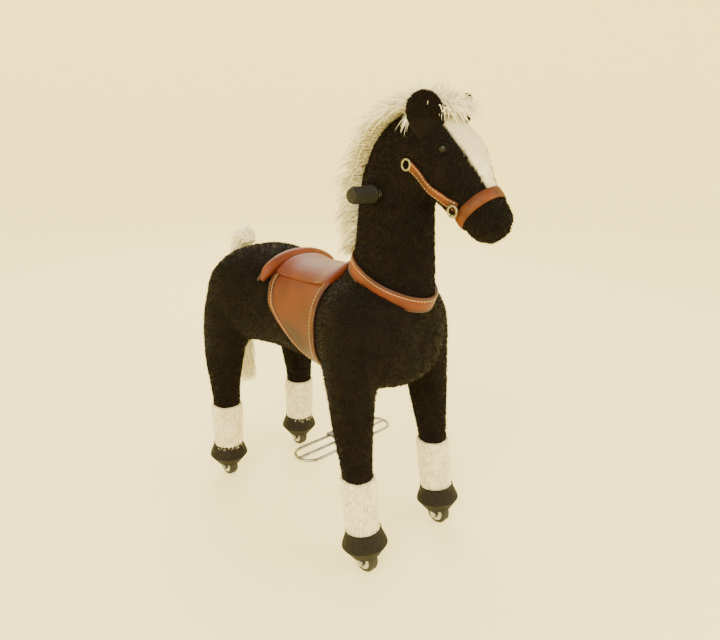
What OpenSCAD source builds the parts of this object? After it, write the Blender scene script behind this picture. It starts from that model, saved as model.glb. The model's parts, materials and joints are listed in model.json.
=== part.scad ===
// Ride-on plush pony. A rider bounces between the saddle and the footrest: the front and rear leg
// frames then spread and close, and the wheels in the hooves turn that into forward motion.
// Millimetres, +Z up, the pony faces -Y. The origin is on the floor, below the footrest post.

/* [Stance] */
// Distance between the wheels of a pair, left to right
track = 232; // [224:1:280]
// Height of the leg pivots above the floor
pivot_z = 415; // [380:1:520]
// How far the front wheel centres lie ahead of the footrest post
front_wheel_reach = 192; // [185:1:230]
// How far the rear wheel centres lie behind the footrest post
rear_wheel_reach = 320; // [312:1:380]
// How far the front leg pivots lie ahead of the footrest post
front_pivot_reach = 135; // [128:1:160]
// How far the rear leg pivots lie behind the footrest post
rear_pivot_reach = 308; // [280:1:360]

/* [Wheels and hooves] */
// Diameter of the tyres
tyre_d = 50; // [42:1:56]
// Width of the tyres
tyre_w = 22; // [18:1:26]
// Diameter of the wheel axle bolts
axle_d = 8; // [6:0.5:10]
// Largest diameter of a hoof
hoof_d = 94; // [86:1:110]
// Height of a hoof, from its rim to its open bottom
hoof_h = 56; // [52:1:66]

/* [Leg frames] */
// Outside diameter of the leg tubes
leg_tube_d = 32; // [30:1:36]
// Wall of the leg tubes and crossbars
tube_wall = 2; // [1.5:0.5:3]
// Outside diameter of the crossbars
crossbar_d = 30; // [24:1:32]
// Length of the toggle lever on the front crossbar, from the pivot to its pin
front_lever = 52; // [48:1:58]
// Length of the toggle lever on the rear crossbar, from the pivot to its pin
rear_lever = 31; // [30:1:36]
// Thickness of each lever plate
lever_t = 4; // [3:0.5:5]

/* [Leg padding] */
// Diameter of the padded leg at the top of its white sock
sock_top_d = 62; // [54:1:76]
// Diameter of the padded leg where it enters the hoof
sock_bottom_d = 67; // [56:1:76]
// Diameter of the padded leg at its upper end
thigh_d = 84; // [70:1:96]
// Length of the white sock above the hoof
sock_h = 113; // [80:1:140]
// Thickness of the plush cover
plush_t = 2; // [1:0.5:4]

/* [Chassis] */
// Distance between the centres of the two side rails
rail_gap = 110; // [100:1:130]
// Width of a side rail
rail_w = 15; // [12:1:20]
// Height of a side rail
rail_h = 40; // [38:1:50]
// Outside diameter of the nylon pivot bushes
pivot_bush_d = 34; // [33:1:36]
// Height of the saddle board's top above the leg pivots
seat_rise = 137; // [134:1:150]
// Length of the saddle board
seat_l = 170; // [140:1:180]
// Width of the saddle board
seat_w = 110; // [90:1:130]

/* [Steering] */
// How far the steering column lies ahead of the footrest post
column_reach = 152; // [150:1:170]
// Diameter of the steering column and of the footrest post
shaft_d = 22; // [18:1:25]
// Height of the handlebar above the leg pivots
handlebar_rise = 331; // [310:1:345]
// Diameter of the handlebar
handlebar_d = 16; // [12:1:20]
// Length of the handlebar, end to end of its grips
handlebar_l = 236; // [220:1:280]
// Outside diameter of a grip
grip_d = 28; // [24:1:34]
// Length of a grip
grip_l = 58; // [50:1:80]
// Length of the steering arms, from shaft to track rod pin
steer_arm = 35; // [30:1:42]

/* [Footrest] */
// Height of the footrest rods above the floor
footrest_z = 180; // [140:1:220]
// Length of the footrest loop, end to end
footrest_l = 272; // [220:1:320]
// Width of the footrest loop, front to back
footrest_w = 72; // [56:1:90]
// Diameter of the footrest rods
footrest_rod_d = 7; // [5:0.5:10]
// Height of the knee pin of the toggle links above the leg pivots
knee_rise = 90; // [86:1:96]

/* [Hidden] */
$fn = 64;
LEFT = 1;
RIGHT = -1;
SIDES = [LEFT, RIGHT];

steel = "dimgray";
zinc = "silver";
nylon = "ivory";
black_plush = "#1a1412";
cream_plush = "#efe6c8";
brown_leather = "#8a4a16";

run = 0.05;        // radial clearance of a running fit
gap = 0.3;         // clearance between soft pieces that don't share a body
eps = 0.01;

wheel_r = tyre_d / 2;
front_leg_l = norm([front_wheel_reach - front_pivot_reach, pivot_z - wheel_r]);
rear_leg_l = norm([rear_wheel_reach - rear_pivot_reach, pivot_z - wheel_r]);
front_lean = atan2(front_wheel_reach - front_pivot_reach, pivot_z - wheel_r);
rear_lean = atan2(rear_wheel_reach - rear_pivot_reach, pivot_z - wheel_r);

// heights below the pivot, measured along a leg, from the wheel centre upwards
hoof_bottom_up = 12;                          // open bottom of the hoof above the wheel centre
hoof_top_up = hoof_bottom_up + hoof_h;        // rim of the hoof
fork_gap = tyre_w + 4;
fork_t = 3;
bridge_up = wheel_r + 4;                      // underside of the fork's bridge
bridge_t = 6;
web_up = bridge_up + bridge_t;                // the hoof's inner web rests on the bridge
web_t = 3;
tube_end_up = web_up + web_t + 6;             // lower end of the leg tube
pad_end_up = web_up + web_t + 3;
sock_top_up = hoof_top_up + sock_h;
thigh_top = 74;                               // upper end of the leg padding below the pivot

tube_r = leg_tube_d / 2;
bore_r = tube_r - tube_wall;
crossbar_r = crossbar_d / 2;
steer_rod_r = 7;
ball_r = 8;
neck_r = 4.5;
socket_r = 12;

column_y = -column_reach;
handlebar_z = pivot_z + handlebar_rise;
rail_z = pivot_z - rail_h / 2;
rail_top = pivot_z + rail_h / 2;
arm_z = pivot_z + 78;                         // underside of the steering arms
arm_t = 5;
arm_w = 18;
pin_r = 4;
clamp_r = 3;                                  // bolt that locks the handlebar in the column
head_tube_z = arm_z + 18;
head_tube_l = 54;
bush_wall = 3;
flange_t = 2;
head_tube_r = shaft_d / 2 + bush_wall + 3;
bush_l = 16;
head_front_y = column_y - head_tube_r - 1;    // front end of the rails
rail_end_y = rear_pivot_reach + 34;

seat_top = pivot_z + seat_rise;
seat_t = 10;
seat_y = 105;                                 // centre of the saddle board behind the post

knee_z = pivot_z + knee_rise;
link_t = 6;
link_x = link_t / 2 + 1;                      // the front link lies at -link_x, the rear one at +link_x
link_h = 14;
eye_r = 11;
eye_play = 2.2;                               // play of the link eyes on the lever pins
guide_z = rail_top + 5;
guide_l = 32;
spring_seat_z = pivot_z - 21;                 // top of the post's collar
spring_wire = 3.5;
spring_r = 16;
spring_turns = 3;

// ---------- helpers ----------
function signed_power(v, e) = sign(v) * pow(abs(v), e);

// A closed solid through a list of rings, each a list of as many points
module loft(rings) {
    n = len(rings[0]);
    m = len(rings);
    polyhedron(
        points = [for (r = rings) each r],
        faces = concat(
            [[for (i = [0:n - 1]) i]],
            [for (k = [0:m - 2], i = [0:n - 1])
                let (a = k * n + i, b = k * n + (i + 1) % n) each [[a, a + n, b], [b, a + n, b + n]]],
            [[for (i = [n - 1:-1:0]) (m - 1) * n + i]]),
        convexity = 6);
}

// Cross-section of the body at s = [y, centre z, half width, half height, roundness], drawn in by t
function body_ring(s, t, n) = [for (i = [0:n - 1]) let (a = -i * 360 / n)
    [(s[2] - t) * signed_power(cos(a), s[4]), s[0],
        pivot_z + s[1] + (s[3] - t) * signed_power(sin(a), s[4])]];

// Elliptical cross-section between a front and a back point [y, z], drawn in by t
function neck_ring(front, back, half_w, t, n) = let (
        mid = (front + back) / 2,
        reach = norm(back - front) / 2,
        along = (front - mid) / reach)
    [for (i = [0:n - 1]) let (a = i * 360 / n)
        let (p = mid + (reach - t) * sin(a) * along)
        [(half_w - t) * cos(a), p[0], p[1]]];

module at_front_leg(side) {
    translate([side * track / 2, -front_pivot_reach, pivot_z]) rotate([-front_lean, 0, 0]) children();
}

module at_rear_leg(side) {
    translate([side * track / 2, rear_pivot_reach, pivot_z]) rotate([rear_lean, 0, 0]) children();
}

// A cylinder along X, centred
module bar_x(r, l) {
    rotate([0, 90, 0]) cylinder(r = r, h = l, center = true);
}

// A flat plate in the YZ plane: two round eyes at the points a and b [y, z], a narrower bar between them,
// and a hole in each eye where a radius is given
module plate_yz(x, t, eye_d, bar_h, a, b, hole_a = 0, hole_b = 0) {
    d = b - a;
    translate([x - t / 2, 0, 0]) rotate([90, 0, 90]) linear_extrude(t) difference() {
        union() {
            for (p = [a, b]) translate(p) circle(d = eye_d);
            translate(a) rotate(atan2(d[1], d[0])) translate([0, -bar_h / 2]) square([norm(d), bar_h]);
        }
        if (hole_a > 0) translate(a) circle(r = hole_a);
        if (hole_b > 0) translate(b) circle(r = hole_b);
    }
}

// ---------- chassis ----------
module rail(side) {
    length = rail_end_y - head_front_y;
    translate([side * rail_gap / 2 - rail_w / 2, head_front_y, rail_z]) difference() {
        cube([rail_w, length, rail_h]);
        translate([tube_wall, -1, tube_wall])
            cube([rail_w - 2 * tube_wall, length + 2, rail_h - 2 * tube_wall]);
    }
}

module main_frame() {
    half = rail_gap / 2 + rail_w / 2;
    inner = rail_gap - rail_w;
    head_front = column_y - head_tube_r;
    beam_z = pivot_z + 45;
    color(steel) difference() {
        union() {
            for (side = SIDES) rail(side);
            // cross plates between the rails: nose, post guide and tail
            translate([-half, head_front - 2, rail_z]) cube([2 * half, 6, beam_z + 6 - rail_z]);
            translate([-head_tube_r - 4, head_front - 2, rail_z])
                cube([2 * head_tube_r + 8, 6, head_tube_z + head_tube_l - rail_z]);
            translate([-half, -24, rail_top]) cube([2 * half, 48, 5]);
            translate([-inner / 2 - 1, rear_pivot_reach + 26, rail_z + 4]) cube([inner + 2, 6, rail_h - 8]);
            // post guide and the strap that carries the lower guide bush
            translate([0, 0, guide_z]) cylinder(r = head_tube_r, h = guide_l);
            for (side = SIDES) translate([side * (inner / 2 - 1) - 2, -14, pivot_z - 35]) cube([4, 28, 30]);
            translate([-inner / 2, -14, pivot_z - 35]) cube([inner, 28, 4]);
            translate([0, 0, pivot_z - 41]) cylinder(r = head_tube_r, h = bush_l);
            // steering head tube and the beam that carries the steering arm bearings
            translate([0, column_y, head_tube_z]) cylinder(r = head_tube_r, h = head_tube_l);
            translate([-track / 2 - 12, head_front - 2, beam_z]) cube([track + 24, 20, 6]);
            for (side = SIDES) {
                translate([side * track / 2 - 12, head_front, beam_z])
                    cube([24, -front_pivot_reach - head_front, 6]);
                translate([side * track / 2, -front_pivot_reach, beam_z - 8])
                    cylinder(r = 12, h = arm_z - gap - beam_z + 8);
            }
            // uprights and pads under the saddle board
            for (side = SIDES, y = [seat_y - seat_l / 2 + 20, seat_y + seat_l / 2 - 35]) {
                translate([side * (rail_gap / 2 - 8) - 8, y, rail_top - 2])
                    cube([16, 15, seat_top - seat_t - rail_top + 2]);
            }
        }
        // pivot bush seats through both rails
        for (y = [-front_pivot_reach, rear_pivot_reach])
            translate([0, y, pivot_z]) bar_x(pivot_bush_d / 2, 2 * half + 20);
        // head tube and guide bores
        translate([0, column_y, head_tube_z - 1]) cylinder(r = shaft_d / 2 + bush_wall, h = head_tube_l + 2);
        translate([0, 0, pivot_z - 42])
            cylinder(r = shaft_d / 2 + bush_wall, h = guide_z + guide_l - pivot_z + 44);
        // seat for the flange of the lower head bush
        translate([0, column_y, head_tube_z - flange_t]) cylinder(r = head_tube_r + run, h = flange_t);
        // steering arm bearings
        for (side = SIDES) translate([side * track / 2, -front_pivot_reach, beam_z - 9])
            cylinder(r = steer_rod_r + run, h = 50);
        // saddle board bolt holes
        for (side = SIDES, y = [seat_y - seat_l / 2 + 27.5, seat_y + seat_l / 2 - 27.5])
            translate([side * (rail_gap / 2 - 8), y, seat_top - seat_t - 24]) cylinder(r = 3, h = 25);
    }
}

module pivot_bushes() {
    l = rail_w + 2;
    color(nylon) for (side = SIDES, y = [-front_pivot_reach, rear_pivot_reach])
        translate([side * rail_gap / 2, y, pivot_z]) difference() {
            union() {
                bar_x(pivot_bush_d / 2, rail_w);
                translate([-side * (rail_w / 2 + flange_t / 2), 0, 0]) bar_x(pivot_bush_d / 2 + 3, flange_t);
            }
            bar_x(crossbar_r + run, l + 8);
        }
}

module shaft_bush() {
    difference() {
        union() {
            cylinder(r = shaft_d / 2 + bush_wall, h = bush_l);
            translate([0, 0, -flange_t]) cylinder(r = head_tube_r, h = flange_t);
        }
        translate([0, 0, -flange_t - 1]) cylinder(r = shaft_d / 2 + run, h = bush_l + flange_t + 2);
    }
}

module shaft_bushes() {
    color(nylon) {
        translate([0, column_y, head_tube_z]) shaft_bush();
        translate([0, column_y, head_tube_z + head_tube_l]) rotate([180, 0, 0]) shaft_bush();
        translate([0, 0, guide_z + guide_l]) rotate([180, 0, 0]) shaft_bush();
        translate([0, 0, pivot_z - 41]) shaft_bush();
    }
}

module seat_board() {
    color("burlywood") difference() {
        translate([-seat_w / 2, seat_y - seat_l / 2, seat_top - seat_t]) cube([seat_w, seat_l, seat_t]);
        for (side = SIDES, y = [seat_y - seat_l / 2 + 27.5, seat_y + seat_l / 2 - 27.5])
            translate([side * (rail_gap / 2 - 8), y, 0]) {
                translate([0, 0, seat_top - seat_t - 1]) cylinder(r = 3.2, h = seat_t + 2);
                translate([0, 0, seat_top - 4]) cylinder(r = 7, h = 5);
            }
    }
}

module seat_bolts() {
    color(zinc) for (side = SIDES, y = [seat_y - seat_l / 2 + 27.5, seat_y + seat_l / 2 - 27.5])
        translate([side * (rail_gap / 2 - 8), y, seat_top - 4]) {
            cylinder(r = 6.5, h = 3.5);
            translate([0, 0, -26]) cylinder(r = 3, h = 26 + eps);
        }
}

// Coil spring round the post, as a tube of 8 sides along a helix
module return_spring() {
    steps = spring_turns * 16;
    height = rail_top - spring_seat_z - spring_wire - 2 * gap;
    wire = spring_wire / 2;
    color(zinc) loft([for (k = [0:steps]) let (
            t = k * 360 / 16,
            rise = height * k / steps,
            lead = atan(height / (spring_turns * 2 * PI * spring_r)))
        [for (i = [0:7]) let (
                b = -i * 45,
                out = spring_r + wire * cos(b),
                up = wire * sin(b) * cos(lead),
                along = -wire * sin(b) * sin(lead))
            [out * cos(t) - along * sin(t), out * sin(t) + along * cos(t),
                spring_seat_z + gap + wire + rise + up]]]);
}

// ---------- body ----------
// [y, centre height above the leg pivots, half width, half height, roundness] from chest to rump
BODY = [
    [-229, 65, 32, 46, 0.9], [-224, 61, 64, 72, 0.9], [-212, 57, 92, 90, 0.85],
    [-190, 57, 122, 103, 0.75], [-150, 60, 144, 113, 0.62], [-105, 61, 146, 113, 0.62],
    [-60, 59, 130, 110, 0.75], [-15, 57, 117, 108, 0.86], [40, 56, 111, 107, 0.86],
    [95, 57, 112, 107, 0.86], [150, 61, 118, 109, 0.86], [205, 66, 130, 114, 0.78],
    [255, 69, 142, 119, 0.66], [305, 67, 144, 118, 0.62], [345, 55, 132, 100, 0.7],
    [372, 45, 106, 76, 0.8], [385, 39, 50, 42, 0.9]];
body_sides = 28;
function column(k) = [for (s = BODY) [s[0], s[k]]];
function station_at(y) = [y, for (k = [1:4]) lookup(y, column(k))];
foam_t = 14;
collar_y = -146;
collar_z = pivot_z + 165;
collar_tilt = 21;
neck_hole_r = 112;
below_belly_z = pivot_z - 85;                 // the openings for the legs and the post start here
slot_l = 72;                                  // length of a leg slot, front to back
post_hole_r = 30;

module body_solid(t) {
    last = len(BODY) - 1;
    loft([for (k = [0:last]) let (
            s = BODY[k],
            y = k == 0 ? s[0] + t : k == last ? s[0] - t : s[0])
        body_ring([y, s[1], max(s[2], t + 12), max(s[3], t + 12), s[4]], t, body_sides)]);
}

// What the body shell leaves open: the neck, the four legs and the footrest post
module body_openings() {
    translate([0, collar_y, collar_z]) rotate([collar_tilt, 0, 0]) cylinder(r = neck_hole_r, h = 120);
    translate([0, column_y, head_tube_z - 20]) cylinder(r = 42, h = 140);
    for (side = SIDES) {
        slot_w = leg_tube_d + 12;
        for (y = [-front_pivot_reach - 46, rear_pivot_reach - 32])
            translate([side * track / 2 - slot_w / 2, y, below_belly_z])
                cube([slot_w, slot_l, pivot_z + 22 - below_belly_z]);
    }
    translate([0, 0, below_belly_z]) cylinder(r = post_hole_r, h = 55);
}

module body_foam() {
    color("gainsboro") difference() {
        body_solid(plush_t);
        // the foam is solid above the saddle board and hollow elsewhere
        difference() {
            body_solid(plush_t + foam_t);
            translate([-200, seat_y - seat_l / 2 - 10, seat_top]) cube([400, seat_l + 20, 100]);
        }
        body_openings();
        translate([-rail_gap / 2 - rail_w / 2 - gap, head_front_y - 1, rail_z - gap])
            cube([rail_gap + rail_w + 2 * gap, rail_end_y + 2 - head_front_y, rail_h]);
        translate([-seat_w / 2 - gap, seat_y - seat_l / 2 - gap, seat_top - seat_t - gap])
            cube([seat_w + 2 * gap, seat_l + 2 * gap, seat_t + gap]);
        // room for the strap that carries the lower guide bush
        translate([-rail_gap / 2, -16, pivot_z - 37]) cube([rail_gap, 32, 30]);
        // room for the steering beam and the swing of its arms
        translate([-track / 2 - 22, column_y - head_tube_r - 8, pivot_z + 34]) cube([track + 44, 95, 60]);
    }
}

module body_cover() {
    color(black_plush) difference() {
        body_solid(0);
        body_solid(plush_t);
        body_openings();
    }
}

// ---------- saddle ----------
saddle_y0 = -38;
saddle_y1 = 158;
seat_low_z = pivot_z + 130;                   // the seat meets the flaps here
flap_low = -20;                               // lower tips of the flaps, from the leg pivots
// Outline of a flap: [y, height above the leg pivots]
FLAP = [[-46, 130 - gap], [-58, 55], [-48, flap_low], [-20, flap_low + 5], [36, 40], [88, 85],
    [128, 130 - gap]];

// Part of a shell outside the body, between two y stations and above z_low
module over_body(t0, t1, y0, y1, z_low) {
    intersection() {
        difference() {
            body_solid(-t1);
            body_solid(-t0);
        }
        translate([-200, y0, z_low]) cube([400, y1 - y0, 400]);
    }
}

module saddle_seat() {
    color(brown_leather) over_body(gap, 12, saddle_y0, saddle_y1 - 22, seat_low_z);
}

module saddle_flaps() {
    color(brown_leather) intersection() {
        over_body(gap, 5, saddle_y0 - 20, saddle_y1 - 30, pivot_z + flap_low);
        translate([-200, 0, pivot_z]) rotate([90, 0, 90]) linear_extrude(400) polygon(FLAP);
    }
}

module saddle_roll() {
    r = 13;
    roll_steps = 24;
    roll_end = 22;       // degrees above the horizontal
    roll_y = saddle_y1 - 8;
    color(brown_leather) loft([for (k = [0:roll_steps]) let (
            a = roll_end + k * (180 - 2 * roll_end) / roll_steps,
            s = station_at(roll_y),
            rise = r * min(1, 0.35 + 2.2 * sin(k * 180 / roll_steps)),
            centre = [(s[2] + r + gap) * signed_power(cos(a), s[4]), s[0],
                pivot_z + s[1] + (s[3] + r + gap) * signed_power(sin(a), s[4])])
        [for (i = [0:11]) let (b = i * 30, out = rise * cos(b) + rise - r)
            centre + [out * cos(a), rise * sin(b), out * sin(a)]]]);
}

// [y, height above the leg pivots, half width, half thickness, tilt] from the dock to the tip
TAIL = [
    [334, 197, 14, 10, 60], [352, 203, 22, 14, 20], [376, 189, 26, 15, -30], [392, 155, 28, 15, -70],
    [396, 85, 30, 12, -88], [396, -15, 32, 12, -90], [395, -115, 30, 12, -90], [394, -179, 20, 10, -90],
    [394, -203, 8, 6, -90]];

module tail() {
    color(cream_plush) difference() {
        loft([for (s = TAIL) [for (i = [0:15]) let (a = -i * 22.5)
            [s[2] * cos(a), s[0] - s[3] * sin(a) * sin(s[4]), pivot_z + s[1] + s[3] * sin(a) * cos(s[4])]]]);
        body_solid(-gap);
    }
}

// ---------- steering ----------
column_rise = 26;                             // how far the column stands above the handlebar

module steering_column() {
    top = handlebar_z + column_rise;
    color(steel) difference() {
        union() {
            translate([0, column_y, arm_z - 2]) cylinder(r = shaft_d / 2, h = top - arm_z + 2);
            translate([0, column_y, head_tube_z + head_tube_l + flange_t + 0.2])
                cylinder(r = head_tube_r, h = 6);
            translate([-arm_w / 2, column_y, arm_z]) cube([arm_w, steer_arm, arm_t]);
            translate([0, column_y + steer_arm, arm_z]) cylinder(d = arm_w, h = arm_t);
        }
        translate([0, column_y + steer_arm, arm_z - 1]) cylinder(r = pin_r + run, h = arm_t + 2);
        translate([0, column_y, handlebar_z]) {
            bar_x(handlebar_d / 2 + run, shaft_d + 4);
            rotate([90, 0, 0]) cylinder(r = clamp_r + run, h = shaft_d + 4, center = true);
        }
    }
}

module handlebar() {
    color(zinc) translate([0, column_y, handlebar_z]) difference() {
        bar_x(handlebar_d / 2, handlebar_l - 4);
        rotate([90, 0, 0]) cylinder(r = clamp_r + run, h = handlebar_d + 2, center = true);
    }
}

module handlebar_grips() {
    color("#1c1c1c") for (side = SIDES)
        translate([side * (handlebar_l / 2 - grip_l / 2), column_y, handlebar_z]) difference() {
            union() {
                bar_x(grip_d / 2, grip_l);
                translate([-side * (grip_l / 2 - 2), 0, 0]) bar_x(grip_d / 2 + 3, 4);
            }
            translate([-side * 2, 0, 0]) bar_x(handlebar_d / 2 + run, grip_l);
        }
}

module clamp_bolts() {
    length = shaft_d + 10;
    color(zinc) translate([0, column_y - shaft_d / 2, handlebar_z]) rotate([-90, 0, 0]) {
        cylinder(r = clamp_r, h = length - 5);
        translate([0, 0, -4]) cylinder(r = 5, h = 4);
        translate([0, 0, shaft_d]) cylinder(r = 5.5, h = 4);
    }
}

// ---------- neck and head ----------
// [front y, front z, back y, back z, half width] from the collar over the poll to the muzzle
NECK = [
    [-239, 137, -53, 209, 66], [-240, 183, -56, 230, 60], [-238, 247, -60, 266, 56],
    [-236, 295, -65, 313, 54], [-237, 317, -79, 372, 53], [-240, 326, -123, 440, 54],
    [-244, 330, -193, 476, 57], [-249, 328, -268, 467, 59], [-259, 317, -326, 427, 57],
    [-279, 302, -348, 382, 47], [-304, 288, -364, 350, 42], [-324, 270, -384, 328, 41],
    [-346, 258, -397, 304, 34], [-368, 260, -394, 284, 18]];
neck_sides = 24;

function neck_front(s) = [s[0], pivot_z + s[1]];
function neck_back(s) = [s[2], pivot_z + s[3]];
lip_slope = [0.73, 0.69];                     // which way the lips are drawn in, [y, z]
function neck_rings(t) = let (last = len(NECK) - 1) [for (k = [0:last]) let (
        s = NECK[k],
        end = k == last ? t * lip_slope : [0, 0])
    neck_ring(neck_front(s) + end, neck_back(s) + end, s[4], t, neck_sides)];

// A station between two of the list, and a point on or off the skin there; angle 90 is the throat side
function neck_at(u) = let (k = min(floor(u), len(NECK) - 2)) NECK[k] + (u - k) * (NECK[k + 1] - NECK[k]);
function neck_point(u, a, t) = let (
        s = neck_at(u),
        front = neck_front(s),
        back = neck_back(s),
        reach = norm(back - front) / 2,
        p = (front + back) / 2 + (reach - t) * sin(a) * (front - back) / (2 * reach))
    [(s[4] - t) * cos(a), p[0], p[1]];

neck_bore_z = pivot_z + 85;                   // the bore for the column starts below the neck

module neck_head_foam() {
    color("gainsboro") difference() {
        loft(neck_rings(plush_t + gap));
        translate([0, column_y, neck_bore_z])
            cylinder(r = head_tube_r + 1, h = head_tube_z + head_tube_l + 10 - neck_bore_z);
        translate([0, column_y, neck_bore_z])
            cylinder(r = shaft_d / 2 + run, h = handlebar_z + column_rise + gap - neck_bore_z);
        translate([0, column_y, handlebar_z]) {
            bar_x(grip_d / 2 + 4, 200);
            rotate([90, 0, 0]) cylinder(r = 7, h = shaft_d + 22, center = true);
        }
    }
}

module neck_head_cover() {
    inner = neck_rings(plush_t);
    outer = neck_rings(0);
    last = len(outer) - 1;
    color(black_plush) difference() {
        loft(concat([for (k = [last:-1:0]) outer[k]], inner));
        translate([0, column_y, handlebar_z]) bar_x(grip_d / 2 + 4, 200);
    }
}

// A leather band round the neck or head, from one station to another
module neck_band(from, to, t) {
    n = 48;
    corners = [[from, -gap - t], [to, -gap - t], [to, -gap], [from, -gap]];
    polyhedron(
        points = [for (c = corners, i = [0:n - 1]) neck_point(c[0], i * 360 / n, c[1])],
        faces = [for (k = [0:3], i = [0:n - 1])
            let (a = k * n + i, b = k * n + (i + 1) % n,
                c = (k + 1) % 4 * n + i, d = (k + 1) % 4 * n + (i + 1) % n)
                each [[a, b, c], [b, d, c]]],
        convexity = 4);
}

module neck_collar() {
    color(brown_leather) neck_band(0.13, 0.835, 3);
}

module ears() {
    foot_r = 12;
    color(black_plush) for (side = SIDES) {
        foot = neck_point(7, -52, -foot_r - gap);
        translate([side * foot[0], foot[1], foot[2]]) rotate([-14, side * 8, 0]) hull() {
            sphere(r = foot_r, $fn = 24);
            translate([side * 3, 2, 24]) scale([1, 0.6, 1]) sphere(r = 18, $fn = 24);
            translate([0, 4, 42]) sphere(r = 6, $fn = 24);
        }
    }
}

module eyes() {
    color("#120c0a") for (side = SIDES) {
        seat = neck_point(7.7, -32, -gap - 3);
        translate([side * seat[0], seat[1], seat[2]]) rotate([0, side * 68, 0])
            rotate_extrude() intersection() {
                scale([1, 0.7]) circle(r = 11);
                square(20);
            }
    }
}

// [station, half width, height] of the mane along the crest
MANE = [
    [0.9, 12, 10], [1, 17, 20], [2, 21, 26], [3, 22, 28], [4, 22, 30], [5, 22, 32], [6, 22, 34],
    [6.9, 20, 30]];

// A tuft of hair that stands on the crest; its section only touches the neck along the middle
module crest_tuft(stations) {
    loft([for (m = stations) let (
            s = neck_at(m[0]),
            front = neck_front(s),
            back = neck_back(s),
            up = (back - front) / norm(back - front),
            mid = back + (m[2] / 2 + gap) * up)
        [for (i = [0:15]) let (a = -i * 22.5)
            [m[1] * cos(a), mid[0] + m[2] / 2 * sin(a) * up[0], mid[1] + m[2] / 2 * sin(a) * up[1]]]]);
}

module mane() {
    color(cream_plush) crest_tuft(MANE);
}

module forelock() {
    color(cream_plush) crest_tuft([
        [7, 17, 18], [7.2, 24, 32], [7.6, 24, 34], [8, 20, 26], [8.3, 13, 16], [8.4, 8, 8]]);
}

// Halter: a noseband and two cheek straps, joined by rings at the cheek and at the corner of the mouth
module halter_noseband() {
    color(brown_leather) neck_band(9.9, 10.55, 3);
}

// Angle round the head at which the strap lies, from the cheek to the mouth
STRAP = [[6, 15], [7, 27], [8, 29], [9, 22], [10, 19]];

module halter_cheek_straps() {
    half = 7;
    t = 3;
    strap_from = 6.45;
    strap_to = 9.25;
    color(brown_leather) for (side = SIDES) loft([for (k = [0:12]) let (
            u = strap_from + k / 12 * (strap_to - strap_from),
            s = neck_at(u),
            reach = norm([s[0] - s[2], s[1] - s[3]]) / 2,
            a = lookup(u, STRAP),
            da = asin(half / reach),
            corners = [[a - da, -gap], [a + da, -gap], [a + da, -gap - t], [a - da, -gap - t]])
        [for (i = [0:3]) let (
                c = corners[side > 0 ? i : 3 - i],
                p = neck_point(u, c[0], c[1]))
            [side * p[0], p[1], p[2]]]]);
}

module halter_rings() {
    ring_r = 9;
    wire_r = 2;
    // [station, how far its wire stands off the skin]
    color(zinc) for (side = SIDES, at = [[6, 1.8], [9.75, 4.4]]) {
        p = neck_point(at[0], lookup(at[0], STRAP), -gap - wire_r - at[1]);
        translate([side * p[0], p[1], p[2]]) rotate([0, 90, 0])
            rotate_extrude() translate([ring_r, 0]) circle(r = wire_r);
    }
}

// ---------- steering linkage ----------
module steering_arm(side) {
    shaft_top = arm_z + arm_t;
    color(steel) translate([side * track / 2, -front_pivot_reach, 0]) difference() {
        union() {
            translate([0, 0, pivot_z]) sphere(r = ball_r);
            translate([0, 0, pivot_z]) cylinder(r = neck_r, h = 14);
            translate([0, 0, pivot_z + 13]) cylinder(r = steer_rod_r, h = shaft_top - pivot_z - 13);
            translate([-arm_w / 2, 0, arm_z]) cube([arm_w, steer_arm, arm_t]);
            translate([0, steer_arm, arm_z]) cylinder(d = arm_w, h = arm_t);
        }
        translate([0, steer_arm, arm_z - 1]) cylinder(r = pin_r + run, h = arm_t + 2);
    }
}

module steering_arm_left() steering_arm(LEFT);
module steering_arm_right() steering_arm(RIGHT);

module track_rod() {
    rod_y = -front_pivot_reach + steer_arm;
    pitman_y = column_y + steer_arm;
    z = arm_z + arm_t + 0.2;
    color(zinc) {
        translate([-track / 2, rod_y - 5, z]) cube([track, 10, 5]);
        translate([-9, pitman_y, z]) cube([18, rod_y - pitman_y, 5]);
        translate([0, pitman_y, arm_z - 2]) {
            cylinder(r = pin_r, h = arm_t + 8);
            translate([0, 0, arm_t + 2.2]) cylinder(r = 9, h = 5);
        }
        for (side = SIDES) translate([side * track / 2, rod_y, arm_z - 2]) {
            cylinder(r = pin_r, h = arm_t + 8);
            translate([0, 0, arm_t + 2.2]) cylinder(r = 7, h = 5);
        }
    }
}

// ---------- leg frames ----------
module toggle_lever(x, length) {
    for (s = [-1, 1]) plate_yz(x + s * (link_t / 2 + 1 + lever_t / 2), lever_t, 18, 16, [0, 0], [0, length]);
    translate([x, 0, length]) bar_x(pin_r, link_t + 2 + 2 * lever_t);
}

module crossbar(x, lever) {
    difference() {
        union() {
            bar_x(crossbar_r, track - leg_tube_d + 6);
            toggle_lever(x, lever);
        }
        bar_x(crossbar_r - tube_wall, track - leg_tube_d + 8);
    }
}

module front_leg_frame() {
    tube_l = front_leg_l - tube_end_up;
    color(steel) difference() {
        union() {
            translate([0, -front_pivot_reach, pivot_z]) crossbar(-link_x, front_lever);
            for (side = SIDES)
                at_front_leg(side) translate([0, 0, -tube_l]) cylinder(r = tube_r, h = tube_l + 10);
        }
        for (side = SIDES)
            at_front_leg(side) translate([0, 0, -tube_l - 1]) cylinder(r = bore_r, h = tube_l + 14);
    }
}

module front_leg_bushes() {
    tube_l = front_leg_l - tube_end_up;
    color(nylon) for (side = SIDES) at_front_leg(side) for (z = [-60, -tube_l])
        translate([0, 0, z]) difference() {
            cylinder(r = bore_r, h = 20);
            translate([0, 0, -1]) cylinder(r = steer_rod_r + run, h = 22);
        }
}

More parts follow.
